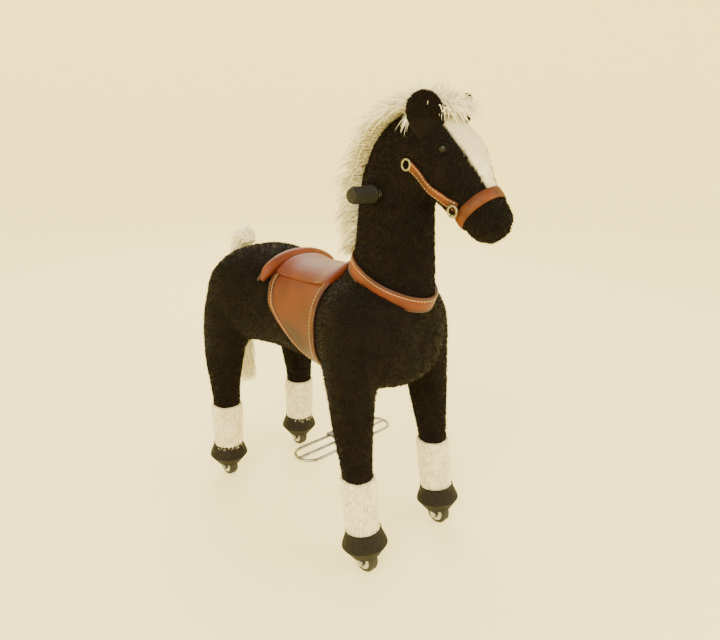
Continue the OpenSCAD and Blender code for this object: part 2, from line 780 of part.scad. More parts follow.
module wheel_fork(leg_l) {
    half = fork_gap / 2;
    difference() {
        union() {
            for (s = [-1, 1]) translate([s * (half + fork_t / 2), 0, -leg_l]) {
                bar_x(9, fork_t);
                translate([-fork_t / 2, -9, 0]) cube([fork_t, 18, bridge_up + bridge_t]);
            }
            translate([-half - fork_t, -16, -leg_l + bridge_up]) cube([fork_gap + 2 * fork_t, 32, bridge_t]);
        }
        translate([0, 0, -leg_l]) bar_x(axle_d / 2, fork_gap + 4 * fork_t);
    }
}

module front_fork(side) {
    color(zinc) at_front_leg(side) {
        difference() {
            union() {
                wheel_fork(front_leg_l);
                translate([0, 0, -front_leg_l + bridge_up + eps])
                    cylinder(r = steer_rod_r, h = front_leg_l - bridge_up - ball_r - 4);
                translate([0, 0, -ball_r - 6]) cylinder(r = socket_r, h = ball_r + 11);
            }
            translate([0, 0, -ball_r - 1]) cylinder(r = ball_r + 0.1, h = ball_r + 8);
        }
    }
}

module front_fork_left() front_fork(LEFT);
module front_fork_right() front_fork(RIGHT);

// Hoof shell, its inner web and the socket that takes the padded leg; z = 0 at the wheel centre
module hoof(bore) {
    r = hoof_d / 2;
    rim = sock_bottom_d / 2 + 1;
    wall = 3;
    low = 26;
    mid = hoof_bottom_up + hoof_h * 0.42;
    difference() {
        rotate_extrude() polygon([
            [low, hoof_bottom_up], [low + wall, hoof_bottom_up], [r, mid], [r - 1, mid + 5],
            [rim + wall, hoof_top_up - 6], [rim + wall, hoof_top_up], [rim, hoof_top_up],
            [rim, hoof_top_up - 8], [rim, web_up + web_t], [bore, web_up + web_t], [bore, web_up],
            [rim - 2, web_up], [r - wall - 2, mid - 2]]);
    }
}

module front_hoof(side) {
    color("#201a14") at_front_leg(side) translate([0, 0, -front_leg_l]) hoof(steer_rod_r);
}

module front_hoof_left() front_hoof(LEFT);
module front_hoof_right() front_hoof(RIGHT);

module axle_bolt() {
    half = fork_gap / 2 + fork_t;
    bar_x(axle_d / 2, 2 * half + 12);
    translate([-half - 3, 0, 0]) bar_x(axle_d * 0.8, 5);
    translate([half + 3, 0, 0]) bar_x(axle_d * 0.8, 6);
}

module front_axle_bolt(side) {
    color(zinc) at_front_leg(side) translate([0, 0, -front_leg_l]) axle_bolt();
}

module front_axle_bolt_left() front_axle_bolt(LEFT);
module front_axle_bolt_right() front_axle_bolt(RIGHT);

// Padding sleeve on a leg tube; heights are measured up from the wheel centre
function leg_profile(leg_l, t) = [
    [sock_bottom_d / 2 - t, pad_end_up], [sock_top_d / 2 - t, sock_top_up],
    [thigh_d / 2 - t, leg_l - thigh_top]];

module leg_sleeve(leg_l, t_out, t_in, low, high) {
    p = leg_profile(leg_l, 0);
    function radius(z) = z < p[1][1] ? p[0][0] + (p[1][0] - p[0][0]) * (z - p[0][1]) / (p[1][1] - p[0][1])
        : p[1][0] + (p[2][0] - p[1][0]) * (z - p[1][1]) / (p[2][1] - p[1][1]);
    stops = [low, if (low < sock_top_up && high > sock_top_up) sock_top_up, high];
    rotate_extrude() polygon(concat(
        [for (z = stops) [radius(z) - t_out, z]],
        [for (k = [len(stops) - 1:-1:0]) [t_in < 0 ? tube_r + run : radius(stops[k]) - t_in, stops[k]]]));
}

module leg_pad(leg_l) {
    translate([0, 0, -leg_l]) leg_sleeve(leg_l, plush_t, -1, pad_end_up, leg_l - thigh_top);
}

module leg_cover(leg_l) {
    translate([0, 0, -leg_l]) leg_sleeve(leg_l, 0, plush_t, sock_top_up, leg_l - thigh_top);
}

module leg_sock(leg_l) {
    translate([0, 0, -leg_l]) leg_sleeve(leg_l, 0, plush_t, pad_end_up, sock_top_up);
}

module front_leg_pads() {
    color("gainsboro") for (side = SIDES) at_front_leg(side) leg_pad(front_leg_l);
}

module front_leg_covers() {
    color(black_plush) for (side = SIDES) at_front_leg(side) leg_cover(front_leg_l);
}

module front_socks() {
    color(cream_plush) for (side = SIDES) at_front_leg(side) leg_sock(front_leg_l);
}

module rear_leg_frame() {
    tube_l = rear_leg_l - web_up;
    color(steel) {
        difference() {
            union() {
                translate([0, rear_pivot_reach, pivot_z]) crossbar(link_x, rear_lever);
                for (side = SIDES)
                    at_rear_leg(side) translate([0, 0, -tube_l]) cylinder(r = tube_r, h = tube_l + 16);
            }
            for (side = SIDES)
                at_rear_leg(side) translate([0, 0, -tube_l + 4]) cylinder(r = bore_r, h = tube_l + 14);
        }
        for (side = SIDES) at_rear_leg(side) {
            wheel_fork(rear_leg_l);
        }
    }
}

module rear_leg_pads() {
    color("gainsboro") for (side = SIDES) at_rear_leg(side) leg_pad(rear_leg_l);
}

module rear_leg_covers() {
    color(black_plush) for (side = SIDES) at_rear_leg(side) leg_cover(rear_leg_l);
}

module rear_socks() {
    color(cream_plush) for (side = SIDES) at_rear_leg(side) leg_sock(rear_leg_l);
}

module rear_hooves() {
    color("#201a14") for (side = SIDES) at_rear_leg(side) translate([0, 0, -rear_leg_l]) hoof(tube_r);
}

module rear_axle_bolts() {
    color(zinc) for (side = SIDES) at_rear_leg(side) translate([0, 0, -rear_leg_l]) axle_bolt();
}

// ---------- wheels ----------
hub_r = tyre_d / 2 - 8;
clutch_r = 11;

module tyre() {
    color("#26221e") rotate([0, 90, 0]) rotate_extrude() polygon([
        [hub_r, -tyre_w / 2], [wheel_r - 3, -tyre_w / 2], [wheel_r, -tyre_w / 2 + 4],
        [wheel_r, tyre_w / 2 - 4],
        [wheel_r - 3, tyre_w / 2], [hub_r, tyre_w / 2]]);
}

module hub(bore) {
    color("#c8c4b4") difference() {
        bar_x(hub_r, tyre_w);
        bar_x(bore, tyre_w + 2);
    }
}

module clutch() {
    color(zinc) difference() {
        bar_x(clutch_r, tyre_w);
        bar_x(axle_d / 2 + run, tyre_w + 2);
    }
}

module at_front_wheel(side) { at_front_leg(side) translate([0, 0, -front_leg_l]) children(); }
module at_rear_wheel(side) { at_rear_leg(side) translate([0, 0, -rear_leg_l]) children(); }

module front_hub_left() at_front_wheel(LEFT) hub(axle_d / 2 + run);
module front_hub_right() at_front_wheel(RIGHT) hub(axle_d / 2 + run);
module front_tyre_left() at_front_wheel(LEFT) tyre();
module front_tyre_right() at_front_wheel(RIGHT) tyre();
module rear_hub_left() at_rear_wheel(LEFT) hub(clutch_r);
module rear_hub_right() at_rear_wheel(RIGHT) hub(clutch_r);
module rear_tyre_left() at_rear_wheel(LEFT) tyre();
module rear_tyre_right() at_rear_wheel(RIGHT) tyre();
module rear_clutch_left() at_rear_wheel(LEFT) clutch();
module rear_clutch_right() at_rear_wheel(RIGHT) clutch();

// ---------- footrest and toggle ----------
module footrest_post() {
    fork_x = 2 * link_x + 2;
    color(zinc) difference() {
        union() {
            translate([0, 0, footrest_z + footrest_rod_d / 2])
                cylinder(r = shaft_d / 2, h = knee_z - 20 - footrest_z - footrest_rod_d / 2);
            translate([0, 0, spring_seat_z - 4]) cylinder(r = spring_r + 4, h = 4);
            for (s = [-1, 1]) plate_yz(s * (fork_x + 1), 4, 20, 18, [0, knee_z - 18], [0, knee_z]);
            translate([0, 0, knee_z]) bar_x(pin_r, 2 * fork_x + 8);
            translate([-22, -footrest_w / 2, footrest_z + footrest_rod_d / 2]) cube([44, footrest_w, 4]);
        }
    }
}

module footrest_loop() {
    r = footrest_rod_d / 2;
    bend = footrest_w / 2 - r;
    straight = footrest_l - footrest_w;
    color(zinc) translate([0, 0, footrest_z]) {
        for (y = [-bend, 0, bend]) translate([0, y, 0]) bar_x(r, y == 0 ? straight + 2 * bend : straight);
        for (side = SIDES) translate([side * straight / 2, 0, 0]) rotate([0, 0, side * 90 - 180])
            rotate_extrude(angle = 180) translate([bend, 0]) circle(r = r);
    }
}

module toggle_link(x, lever_y, lever_z) {
    color(zinc) plate_yz(x, link_t, 2 * eye_r, link_h, [0, knee_z], [lever_y, lever_z],
        pin_r + run, pin_r + eye_play);
}

module toggle_link_front() toggle_link(-link_x, -front_pivot_reach, pivot_z + front_lever);
module toggle_link_rear() toggle_link(link_x, rear_pivot_reach, pivot_z + rear_lever);

main_frame();
pivot_bushes();
shaft_bushes();
seat_board();
seat_bolts();
return_spring();
body_foam();
body_cover();
saddle_seat();
saddle_roll();
saddle_flaps();
neck_collar();
tail();
steering_column();
handlebar();
handlebar_grips();
clamp_bolts();
neck_head_foam();
neck_head_cover();
ears();
eyes();
mane();
forelock();
halter_noseband();
halter_cheek_straps();
halter_rings();
track_rod();
steering_arm_left();
steering_arm_right();
front_leg_frame();
front_leg_bushes();
front_leg_pads();
front_leg_covers();
front_socks();
front_fork_left();
front_fork_right();
front_hoof_left();
front_hoof_right();
front_axle_bolt_left();
front_axle_bolt_right();
rear_leg_frame();
rear_leg_pads();
rear_leg_covers();
rear_socks();
rear_hooves();
rear_axle_bolts();
front_hub_left();
front_tyre_left();
front_hub_right();
front_tyre_right();
rear_hub_left();
rear_tyre_left();
rear_clutch_left();
rear_hub_right();
rear_tyre_right();
rear_clutch_right();
footrest_post();
footrest_loop();
toggle_link_front();
toggle_link_rear();
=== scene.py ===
"""Wheeled plush riding pony: the looks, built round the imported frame."""

import json
import math

import bmesh
import bpy
import numpy as np
from mathutils import Matrix, Vector
from mathutils.bvhtree import BVHTree

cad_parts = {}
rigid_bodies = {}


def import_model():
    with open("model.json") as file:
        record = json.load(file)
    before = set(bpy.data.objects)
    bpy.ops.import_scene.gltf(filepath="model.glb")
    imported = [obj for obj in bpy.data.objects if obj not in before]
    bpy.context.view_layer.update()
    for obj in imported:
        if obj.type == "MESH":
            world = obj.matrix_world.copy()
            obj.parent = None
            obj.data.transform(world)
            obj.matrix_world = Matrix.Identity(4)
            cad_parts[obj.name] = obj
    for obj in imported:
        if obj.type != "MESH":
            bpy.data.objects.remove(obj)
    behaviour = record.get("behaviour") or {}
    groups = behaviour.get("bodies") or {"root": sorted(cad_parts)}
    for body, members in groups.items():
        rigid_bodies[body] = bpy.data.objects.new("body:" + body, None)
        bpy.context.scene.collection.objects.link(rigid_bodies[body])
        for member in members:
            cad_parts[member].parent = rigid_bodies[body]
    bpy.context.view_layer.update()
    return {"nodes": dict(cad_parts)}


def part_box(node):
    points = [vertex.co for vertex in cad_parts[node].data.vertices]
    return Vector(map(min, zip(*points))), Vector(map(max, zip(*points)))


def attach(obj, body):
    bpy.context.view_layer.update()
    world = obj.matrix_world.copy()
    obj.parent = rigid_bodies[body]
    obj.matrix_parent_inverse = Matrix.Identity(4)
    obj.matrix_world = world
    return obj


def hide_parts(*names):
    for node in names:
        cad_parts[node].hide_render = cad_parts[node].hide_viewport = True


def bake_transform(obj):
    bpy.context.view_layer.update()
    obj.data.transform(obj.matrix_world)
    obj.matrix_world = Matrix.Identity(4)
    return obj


for stray in list(bpy.data.objects):
    bpy.data.objects.remove(stray)
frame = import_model()


# ---------- viewpoint ----------
# From the pony's right front, a little above its back, with a short lens. The rows of sight are the
# camera's right, its up and its back.
def add_object(name, data):
    """An object for a mesh, a lamp or a camera, put in the scene."""
    made = bpy.data.objects.new(name, data)
    bpy.context.scene.collection.objects.link(made)
    return made


sight = Matrix(((0.71883, -0.69519, 0), (0.20095, 0.20779, 0.95731), (-0.66551, -0.68814, 0.28907)))
camera = add_object("camera", bpy.data.cameras.new("camera"))
camera.data.lens = 29.365
camera.data.sensor_width = 36
camera.matrix_world = Matrix.Translation((-0.82260, -0.90372, 0.83369)) @ sight.transposed().to_4x4()
bpy.context.scene.camera = camera


# ---------- studio ----------
# A seamless warm-white paper sweep, a wide bowl so that it shows from every side, under three
# large soft boxes and a pale sky.
def linear(hex_colour):
    """An sRGB hex colour as linear red, green, blue, alpha."""
    parts = [int(hex_colour[k:k + 2], 16) / 255 for k in (1, 3, 5)]
    return [c / 12.92 if c <= 0.04045 else ((c + 0.055) / 1.055) ** 2.4 for c in parts] + [1.0]


def add_node(tree, kind, settings=None, inputs=None):
    """Adds one shader node. An input is a value, or the output socket that feeds it."""
    node = tree.nodes.new(kind)
    for name, value in (settings or {}).items():
        setattr(node, name, value)
    for socket, value in (inputs or {}).items():
        if isinstance(value, bpy.types.NodeSocket):
            tree.links.new(value, node.inputs[socket])
        else:
            node.inputs[socket].default_value = value
    return node


def start_material(name, uniform):
    """A material with its shader and its uniform values; returns it with what its pattern needs."""
    material = bpy.data.materials.new(name)
    material.use_nodes = True
    tree = material.node_tree
    tree.nodes.clear()
    shader = add_node(tree, "ShaderNodeBsdfPrincipled", {}, uniform)
    add_node(tree, "ShaderNodeOutputMaterial", {}, {"Surface": shader.outputs[0]})
    place = add_node(tree, "ShaderNodeTexCoord").outputs["Object"]
    return material, tree, shader, place


def two_shades(tree, shader, factor, dark, light, span=(0.35, 0.65)):
    """Lets a pattern run the surface colour from a dark shade to a light one."""
    spread = add_node(tree, "ShaderNodeMapRange", {}, {"Value": factor, "From Min": span[0], "From Max": span[1]})
    blended = add_node(tree, "ShaderNodeMix", {"data_type": "RGBA"},
                       {0: spread.outputs[0], 6: linear(dark), 7: linear(light)})
    tree.links.new(blended.outputs[2], shader.inputs["Base Color"])


def relief(tree, shader, height, depth_mm, strength=0.6):
    """Raises the surface by a pattern, depth_mm deep."""
    bump = add_node(tree, "ShaderNodeBump", {}, {"Height": height, "Distance": depth_mm / 1000, "Strength": strength})
    tree.links.new(bump.outputs[0], shader.inputs["Normal"])


def loft(rings, closed=False):
    """Points and faces of a skin through rings of points: capped at its ends, or closed on itself."""
    rings = np.asarray(rings, float)
    rows, cols = rings.shape[:2]
    faces = []
    for r in range(rows if closed else rows - 1):
        a, b = r * cols, (r + 1) % rows * cols
        faces += [(a + c, a + (c + 1) % cols, b + (c + 1) % cols, b + c) for c in range(cols)]
    if not closed:
        faces += [tuple(range(cols))[::-1], tuple(range((rows - 1) * cols, rows * cols))]
    return rings.reshape(-1, 3), faces


def make_piece(name, parts, material):
    """A mesh object of (points, faces) parts, its faces turned outwards."""
    points, faces, start = [], [], 0
    for part_points, part_faces in parts:
        points.append(np.asarray(part_points, float))
        faces += [tuple(start + i for i in face) for face in part_faces]
        start += len(part_points)
    mesh = bpy.data.meshes.new(name)
    mesh.from_pydata(np.vstack(points).tolist(), [], faces)
    bm = bmesh.new()
    bm.from_mesh(mesh)
    bmesh.ops.recalc_face_normals(bm, faces=bm.faces)
    bm.to_mesh(mesh)
    bm.free()
    mesh.polygons.foreach_set("use_smooth", [True] * len(mesh.polygons))
    mesh.materials.append(material)
    return add_object(name, mesh)


def around(count):
    """The angles of a full turn in equal steps."""
    return np.linspace(0, 2 * math.pi, count + 1)[:-1]


paper, tree, shader, place = start_material("seamless_paper", {
    "Roughness": 0.95, "Specular IOR Level": 0.2, "Emission Color": linear("#FFE993"), "Emission Strength": 0.85})
# paper fibre, 2 mm clumps: barely there, it keeps the sweep from looking like plastic
fibre = add_node(tree, "ShaderNodeTexNoise", {}, {"Vector": place, "Scale": 500, "Detail": 3}).outputs[0]
two_shades(tree, shader, fibre, "#FFF4B8", "#FFF9CC")
bowl_profile = [(0.01, -0.001), (3.2, -0.001), (4.6, 0.12), (5.6, 0.7), (6.2, 1.8), (6.4, 3.2), (6.4, 5.0)]
bowl_rings = [[(r * math.cos(a), r * math.sin(a), z) for a in around(96)]
              for r, z in bowl_profile]
points, faces = loft(bowl_rings)
studio_floor = make_piece("studio_floor", [(points, faces[:-1])], paper)

for name, spot, size, watts in (("key_light", (-2.6, -1.2, 2.6), 2.2, 95),
                                ("fill_light", (1.2, -3.0, 1.8), 2.4, 55),
                                ("back_light", (1.6, 2.4, 2.8), 2.0, 70)):
    lamp = add_object(name, bpy.data.lights.new(name, "AREA"))
    lamp.data.size = size
    lamp.data.energy = watts
    lamp.location = spot
    lamp.rotation_euler = (Vector((0, 0, 0.45)) - Vector(spot)).to_track_quat("-Z", "Y").to_euler()
sky = bpy.data.worlds.new("sky")
sky.use_nodes = True
sky.node_tree.nodes["Background"].inputs["Color"].default_value = linear("#FFF2C6")
sky.node_tree.nodes["Background"].inputs["Strength"].default_value = 1.25
bpy.context.scene.world = sky


# ---------- welded frame, legs and steering steel ----------
# Square and round steel tube, welded, then dipped and baked in black powder paint. The paint
# pools in a fine orange peel and shines dully on the edges.
def paint(material, *nodes):
    """Gives CAD nodes a material."""
    for node in nodes:
        for entry in frame["nodes"][node].material_slots:
            entry.material = material


powder_paint, tree, shader, place = start_material("black_powder_paint", {"Roughness": 0.42, "Coat Weight": 0.15})
# orange peel: ripples 1.5 mm across
peel = add_node(tree, "ShaderNodeTexNoise", {}, {"Vector": place, "Scale": 650, "Detail": 2}).outputs[0]
two_shades(tree, shader, peel, "#111112", "#1D1D1F")
relief(tree, shader, peel, 0.08)
paint(powder_paint, "main_frame", "front_leg_frame", "rear_leg_frame", "front_fork_left", "front_fork_right",
      "steering_arm_left", "steering_arm_right", "track_rod", "toggle_link_front", "toggle_link_rear",
      "footrest_post")


# ---------- zinc-plated steel ----------
# Bolts, the return spring, the steering column and the handlebar tube: drawn steel with a bright
# bluish zinc plate, faint spangle and fine lengthwise draw marks.
zinc_plate, tree, shader, place = start_material("zinc_plate", {"Metallic": 1.0})
spangle = add_node(tree, "ShaderNodeTexVoronoi", {}, {"Vector": place, "Scale": 300}).outputs["Distance"]
two_shades(tree, shader, spangle, "#9FA3A6", "#C9CCCD", (0.1, 0.9))
scuffs = add_node(tree, "ShaderNodeTexNoise", {}, {"Vector": place, "Scale": 240, "Detail": 5}).outputs[0]
rough = add_node(tree, "ShaderNodeMapRange", {}, {"Value": scuffs, "To Min": 0.25, "To Max": 0.5})
tree.links.new(rough.outputs[0], shader.inputs["Roughness"])
relief(tree, shader, scuffs, 0.05)
paint(zinc_plate, "seat_bolts", "return_spring", "steering_column", "handlebar", "clamp_bolts",
      "front_axle_bolt_left", "front_axle_bolt_right", "rear_axle_bolts", "rear_clutch_left", "rear_clutch_right")


# ---------- nylon bushes ----------
# Moulded nylon sleeves pressed into every pivot, so that it turns without grease: ivory, and waxy
# because a little light goes in.
nylon, tree, shader, place = start_material("moulded_nylon", {
    "Roughness": 0.45, "IOR": 1.53, "Subsurface Weight": 0.1, "Subsurface Radius": (0.002, 0.002, 0.0015)})
cloud = add_node(tree, "ShaderNodeTexNoise", {}, {"Vector": place, "Scale": 160, "Detail": 3}).outputs[0]
two_shades(tree, shader, cloud, "#D9D3C0", "#ECE7D8")
relief(tree, shader, cloud, 0.03)
paint(nylon, "pivot_bushes", "shaft_bushes", "front_leg_bushes")


# ---------- seat board ----------
# Birch plywood bolted to the frame under the saddle, 10 mm thick: pale, with long fine grain along
# the pony.
plywood, tree, shader, place = start_material("birch_plywood", {"Roughness": 0.6})
stretched = add_node(tree, "ShaderNodeMapping", {}, {"Vector": place, "Scale": (1, 0.06, 1)}).outputs[0]
grain = add_node(tree, "ShaderNodeTexNoise", {}, {"Vector": stretched, "Scale": 420, "Detail": 6}).outputs[0]
two_shades(tree, shader, grain, "#B98D58", "#DDB987")
relief(tree, shader, grain, 0.1)
paint(plywood, "seat_board")


# ---------- footrest ----------
# 7 mm steel wire bent into a loop with a cross rod and welded to the post, satin chrome over
# nickel. Shoes rub it dull.
satin_chrome, tree, shader, place = start_material("satin_chrome", {"Metallic": 1.0})
rubbed = add_node(tree, "ShaderNodeTexNoise", {}, {"Vector": place, "Scale": 90, "Detail": 6}).outputs[0]
two_shades(tree, shader, rubbed, "#8F8E8A", "#B8B7B2")
dull = add_node(tree, "ShaderNodeMapRange", {}, {"Value": rubbed, "To Min": 0.22, "To Max": 0.48})
tree.links.new(dull.outputs[0], shader.inputs["Roughness"])
relief(tree, shader, rubbed, 0.04)
paint(satin_chrome, "footrest_loop")


# ---------- wheels ----------
# Two-part castor wheels: a pale grey moulded hub and a black thermoplastic tread, dulled by fine
# grit picked up from the floor.
tread_rubber, tree, shader, place = start_material("tread_rubber", {"Roughness": 0.7, "IOR": 1.52})
grit = add_node(tree, "ShaderNodeTexNoise", {}, {"Vector": place, "Scale": 900, "Detail": 4}).outputs[0]
two_shades(tree, shader, grit, "#141210", "#2A2622")
relief(tree, shader, grit, 0.15)
paint(tread_rubber, "front_tyre_left", "front_tyre_right", "rear_tyre_left", "rear_tyre_right")

hub_plastic, tree, shader, place = start_material("grey_polypropylene", {"Roughness": 0.5, "IOR": 1.49})
flow = add_node(tree, "ShaderNodeTexNoise", {}, {"Vector": place, "Scale": 200, "Detail": 4}).outputs[0]
two_shades(tree, shader, flow, "#A9A795", "#C4C2B2")
relief(tree, shader, flow, 0.05)
paint(hub_plastic, "front_hub_left", "front_hub_right", "rear_hub_left", "rear_hub_right")


# ---------- hooves ----------
# Blow-moulded black rubber hooves that flare to the ground and hide the axle brackets; matt, with
# faint growth rings round them and a dusty bloom.
hoof_rubber, tree, shader, place = start_material("hoof_rubber", {
    "Roughness": 0.7, "IOR": 1.52, "Specular IOR Level": 0.25})
height = add_node(tree, "ShaderNodeSeparateXYZ", {}, {0: place}).outputs["Z"]
# growth rings 4 mm apart
rings = add_node(tree, "ShaderNodeMath", {"operation": "SINE"}, {
    0: add_node(tree, "ShaderNodeMath", {"operation": "MULTIPLY"}, {0: height, 1: 1570}).outputs[0]}).outputs[0]
bloom = add_node(tree, "ShaderNodeTexNoise", {}, {"Vector": place, "Scale": 120, "Detail": 6}).outputs[0]
two_shades(tree, shader, bloom, "#080504", "#16100C")
relief(tree, shader, add_node(tree, "ShaderNodeMath", {"operation": "ADD"}, {0: rings, 1: bloom}).outputs[0], 0.3)
paint(hoof_rubber, "front_hoof_left", "front_hoof_right", "rear_hooves")


# ---------- plush hide ----------
# Short-pile polyester plush sewn over cut foam: one skin for the trunk and one for the neck and
# head, and a sleeve on each leg. The pile lies back and down, its tips drawn lighter and browner than
# its roots: painted light on the tips and painted shade down at the roots.
def flowing(stations, steps):
    """Rows of numbers taken smoothly through the given rows, steps to each gap."""
    rows = np.asarray(stations, float)
    padded = np.vstack([2 * rows[0] - rows[1], rows, 2 * rows[-1] - rows[-2]])
    result = []
    for k in range(len(rows) - 1):
        a, b, c, d = padded[k:k + 4]
        for t in np.arange(steps) / steps:
            result.append(0.5 * (2 * b + (c - a) * t + (2 * a - 5 * b + 4 * c - d) * t * t
                                 + (3 * b - a - 3 * c + d) * t ** 3))
    return np.array(result + [rows[-1]])


def rounded_ring(centre, half_x, half_up, up, power=1.0):
    """Points round a section: half_x sideways and half_up along up; a low power squares it."""
    angle = around(40)
    across = np.sign(np.cos(angle)) * np.abs(np.cos(angle)) ** power * half_x
    along = np.sign(np.sin(angle)) * np.abs(np.sin(angle)) ** power * half_up
    return np.asarray(centre) + across[:, None] * np.array([1, 0, 0]) + along[:, None] * np.asarray(up)


def section(front, back, half_x):
    """A ring round the neck or head between its front and its back point, each (y, z)."""
    front, back = np.array([0, *front]), np.array([0, *back])
    reach = np.linalg.norm(back - front) / 2
    return rounded_ring((front + back) / 2, half_x, reach, (back - front) / (2 * reach))


# trunk, from chest to rump: y, middle z, half width, half height, squareness
trunk = np.array([
    (-0.226, 0.480, 0.030, 0.042, 0.95), (-0.220, 0.476, 0.064, 0.072, 0.95), (-0.208, 0.472, 0.092, 0.090, 0.9),
    (-0.188, 0.472, 0.118, 0.101, 0.85), (-0.150, 0.475, 0.138, 0.110, 0.8), (-0.105, 0.476, 0.142, 0.111, 0.8),
    (-0.060, 0.474, 0.130, 0.108, 0.86), (-0.015, 0.472, 0.117, 0.106, 0.92), (0.040, 0.471, 0.112, 0.105, 0.92),
    (0.095, 0.472, 0.113, 0.105, 0.92), (0.150, 0.476, 0.118, 0.107, 0.9), (0.205, 0.481, 0.130, 0.112, 0.85),
    (0.255, 0.484, 0.140, 0.117, 0.8), (0.305, 0.482, 0.141, 0.116, 0.8), (0.345, 0.472, 0.128, 0.099, 0.82),
    (0.370, 0.462, 0.100, 0.078, 0.9), (0.381, 0.456, 0.050, 0.044, 0.95)])
trunk_rings = [rounded_ring((0, y, z), half_x, half_z, (0, 0, 1), power)
               for y, z, half_x, half_z, power in flowing(trunk, 3)]
# neck and head, from the withers to the lips: front y and z, back y and z, half width
neck = np.array([
    (-0.200, 0.470, 0.010, 0.560, 0.074), (-0.228, 0.520, -0.030, 0.590, 0.070),
    (-0.238, 0.552, -0.053, 0.622, 0.066), (-0.240, 0.598, -0.056, 0.645, 0.060),
    (-0.238, 0.662, -0.060, 0.681, 0.056), (-0.236, 0.710, -0.065, 0.728, 0.054),
    (-0.237, 0.732, -0.079, 0.787, 0.053), (-0.240, 0.741, -0.123, 0.855, 0.054),
    (-0.244, 0.745, -0.193, 0.891, 0.057), (-0.249, 0.743, -0.268, 0.882, 0.059),
    (-0.259, 0.732, -0.326, 0.842, 0.057), (-0.279, 0.717, -0.348, 0.797, 0.047),
    (-0.304, 0.703, -0.364, 0.765, 0.042), (-0.324, 0.685, -0.384, 0.743, 0.041),
    (-0.346, 0.673, -0.397, 0.719, 0.034), (-0.366, 0.674, -0.395, 0.700, 0.018)])
neck_rings = [section(row[0:2], row[2:4], row[4]) for row in flowing(neck, 4)]
# each leg, from inside the trunk to inside its hoof: z, y, half depth, x, half width
rear_leg = np.array([
    (0.50, 0.296, 0.072, 0.085, 0.052), (0.44, 0.303, 0.074, 0.098, 0.052), (0.38, 0.310, 0.068, 0.106, 0.049),
    (0.34, 0.313, 0.059, 0.112, 0.045), (0.30, 0.314, 0.050, 0.114, 0.042), (0.26, 0.314, 0.042, 0.115, 0.038),
    (0.21, 0.312, 0.036, 0.116, 0.034), (0.08, 0.317, 0.031, 0.116, 0.031)])
front_leg = np.array([
    (0.50, -0.125, 0.075, 0.085, 0.055), (0.44, -0.130, 0.068, 0.097, 0.052), (0.38, -0.139, 0.056, 0.108, 0.046),
    (0.34, -0.146, 0.049, 0.112, 0.043), (0.30, -0.151, 0.043, 0.114, 0.040), (0.26, -0.157, 0.038, 0.115, 0.037),
    (0.21, -0.165, 0.033, 0.116, 0.033), (0.08, -0.184, 0.030, 0.116, 0.030)])
leg_rings = [[rounded_ring((side * x, y, z), half_x, half_y, (0, 1, 0), 0.95) for z, y, half_y, x, half_x
              in flowing(leg, 3)] for leg in (front_leg, rear_leg) for side in (-1, 1)]


def settle(piece, modifiers):
    """Runs modifiers on a piece and keeps their result as its mesh."""
    for kind, settings in modifiers:
        modifier = piece.modifiers.new(kind.lower(), kind)
        for name, value in settings.items():
            setattr(modifier, name, value)
    bpy.context.view_layer.update()
    done = bpy.data.meshes.new_from_object(piece.evaluated_get(bpy.context.evaluated_depsgraph_get()))
    piece.modifiers.clear()
    piece.data = done


plush, tree, shader, place = start_material("short_pile_plush", {
    "Roughness": 0.9, "Specular IOR Level": 0.15, "Sheen Weight": 0.05, "Sheen Roughness": 0.4})
tip = add_node(tree, "ShaderNodeAttribute", {"attribute_name": "tip"}).outputs["Fac"]
shade = add_node(tree, "ShaderNodeAttribute", {"attribute_name": "shade"}).outputs["Fac"]
cream = add_node(tree, "ShaderNodeAttribute", {"attribute_name": "cream"}).outputs["Fac"]
# brushed patches about 35 mm across, and single fibres drawn 1.2 mm wide
patches = add_node(tree, "ShaderNodeTexNoise", {}, {"Vector": place, "Scale": 28, "Detail": 4}).outputs[0]
fibres = add_node(tree, "ShaderNodeTexNoise", {}, {"Vector": place, "Scale": 830, "Detail": 3}).outputs[0]
# painted light and shade: each hair is drawn lighter towards its tip and darker at its root
lit = add_node(tree, "ShaderNodeMath", {"operation": "MULTIPLY_ADD"}, {0: tip, 1: 0.45, 2: patches}).outputs[0]
lit = add_node(tree, "ShaderNodeMath", {"operation": "MULTIPLY_ADD"}, {0: shade, 1: 0.35, 2: lit}).outputs[0]
lit = add_node(tree, "ShaderNodeMapRange", {}, {"Value": lit, "From Min": 0.3, "From Max": 1.3}).outputs[0]
dark_hair = add_node(tree, "ShaderNodeMix", {"data_type": "RGBA"},
                     {0: lit, 6: linear("#030201"), 7: linear("#1A100A")}).outputs[2]
pale_hair = add_node(tree, "ShaderNodeMix", {"data_type": "RGBA"},
                     {0: lit, 6: linear("#D6CBAE"), 7: linear("#FFFAEA")}).outputs[2]
hair = add_node(tree, "ShaderNodeMix", {"data_type": "RGBA"}, {0: cream, 6: dark_hair, 7: pale_hair}).outputs[2]
tree.links.new(hair, shader.inputs["Base Color"])
relief(tree, shader, fibres, 0.6, 0.5)

whole_hide = make_piece("whole_hide", [loft(r) for r in [trunk_rings, neck_rings] + leg_rings], plush)
settle(whole_hide, [("REMESH", {"mode": "VOXEL", "voxel_size": 0.005}),
                    ("SMOOTH", {"factor": 0.5, "iterations": 8})])

# the skin lies this far in, to leave room for its pile
pile_room = 0.0035
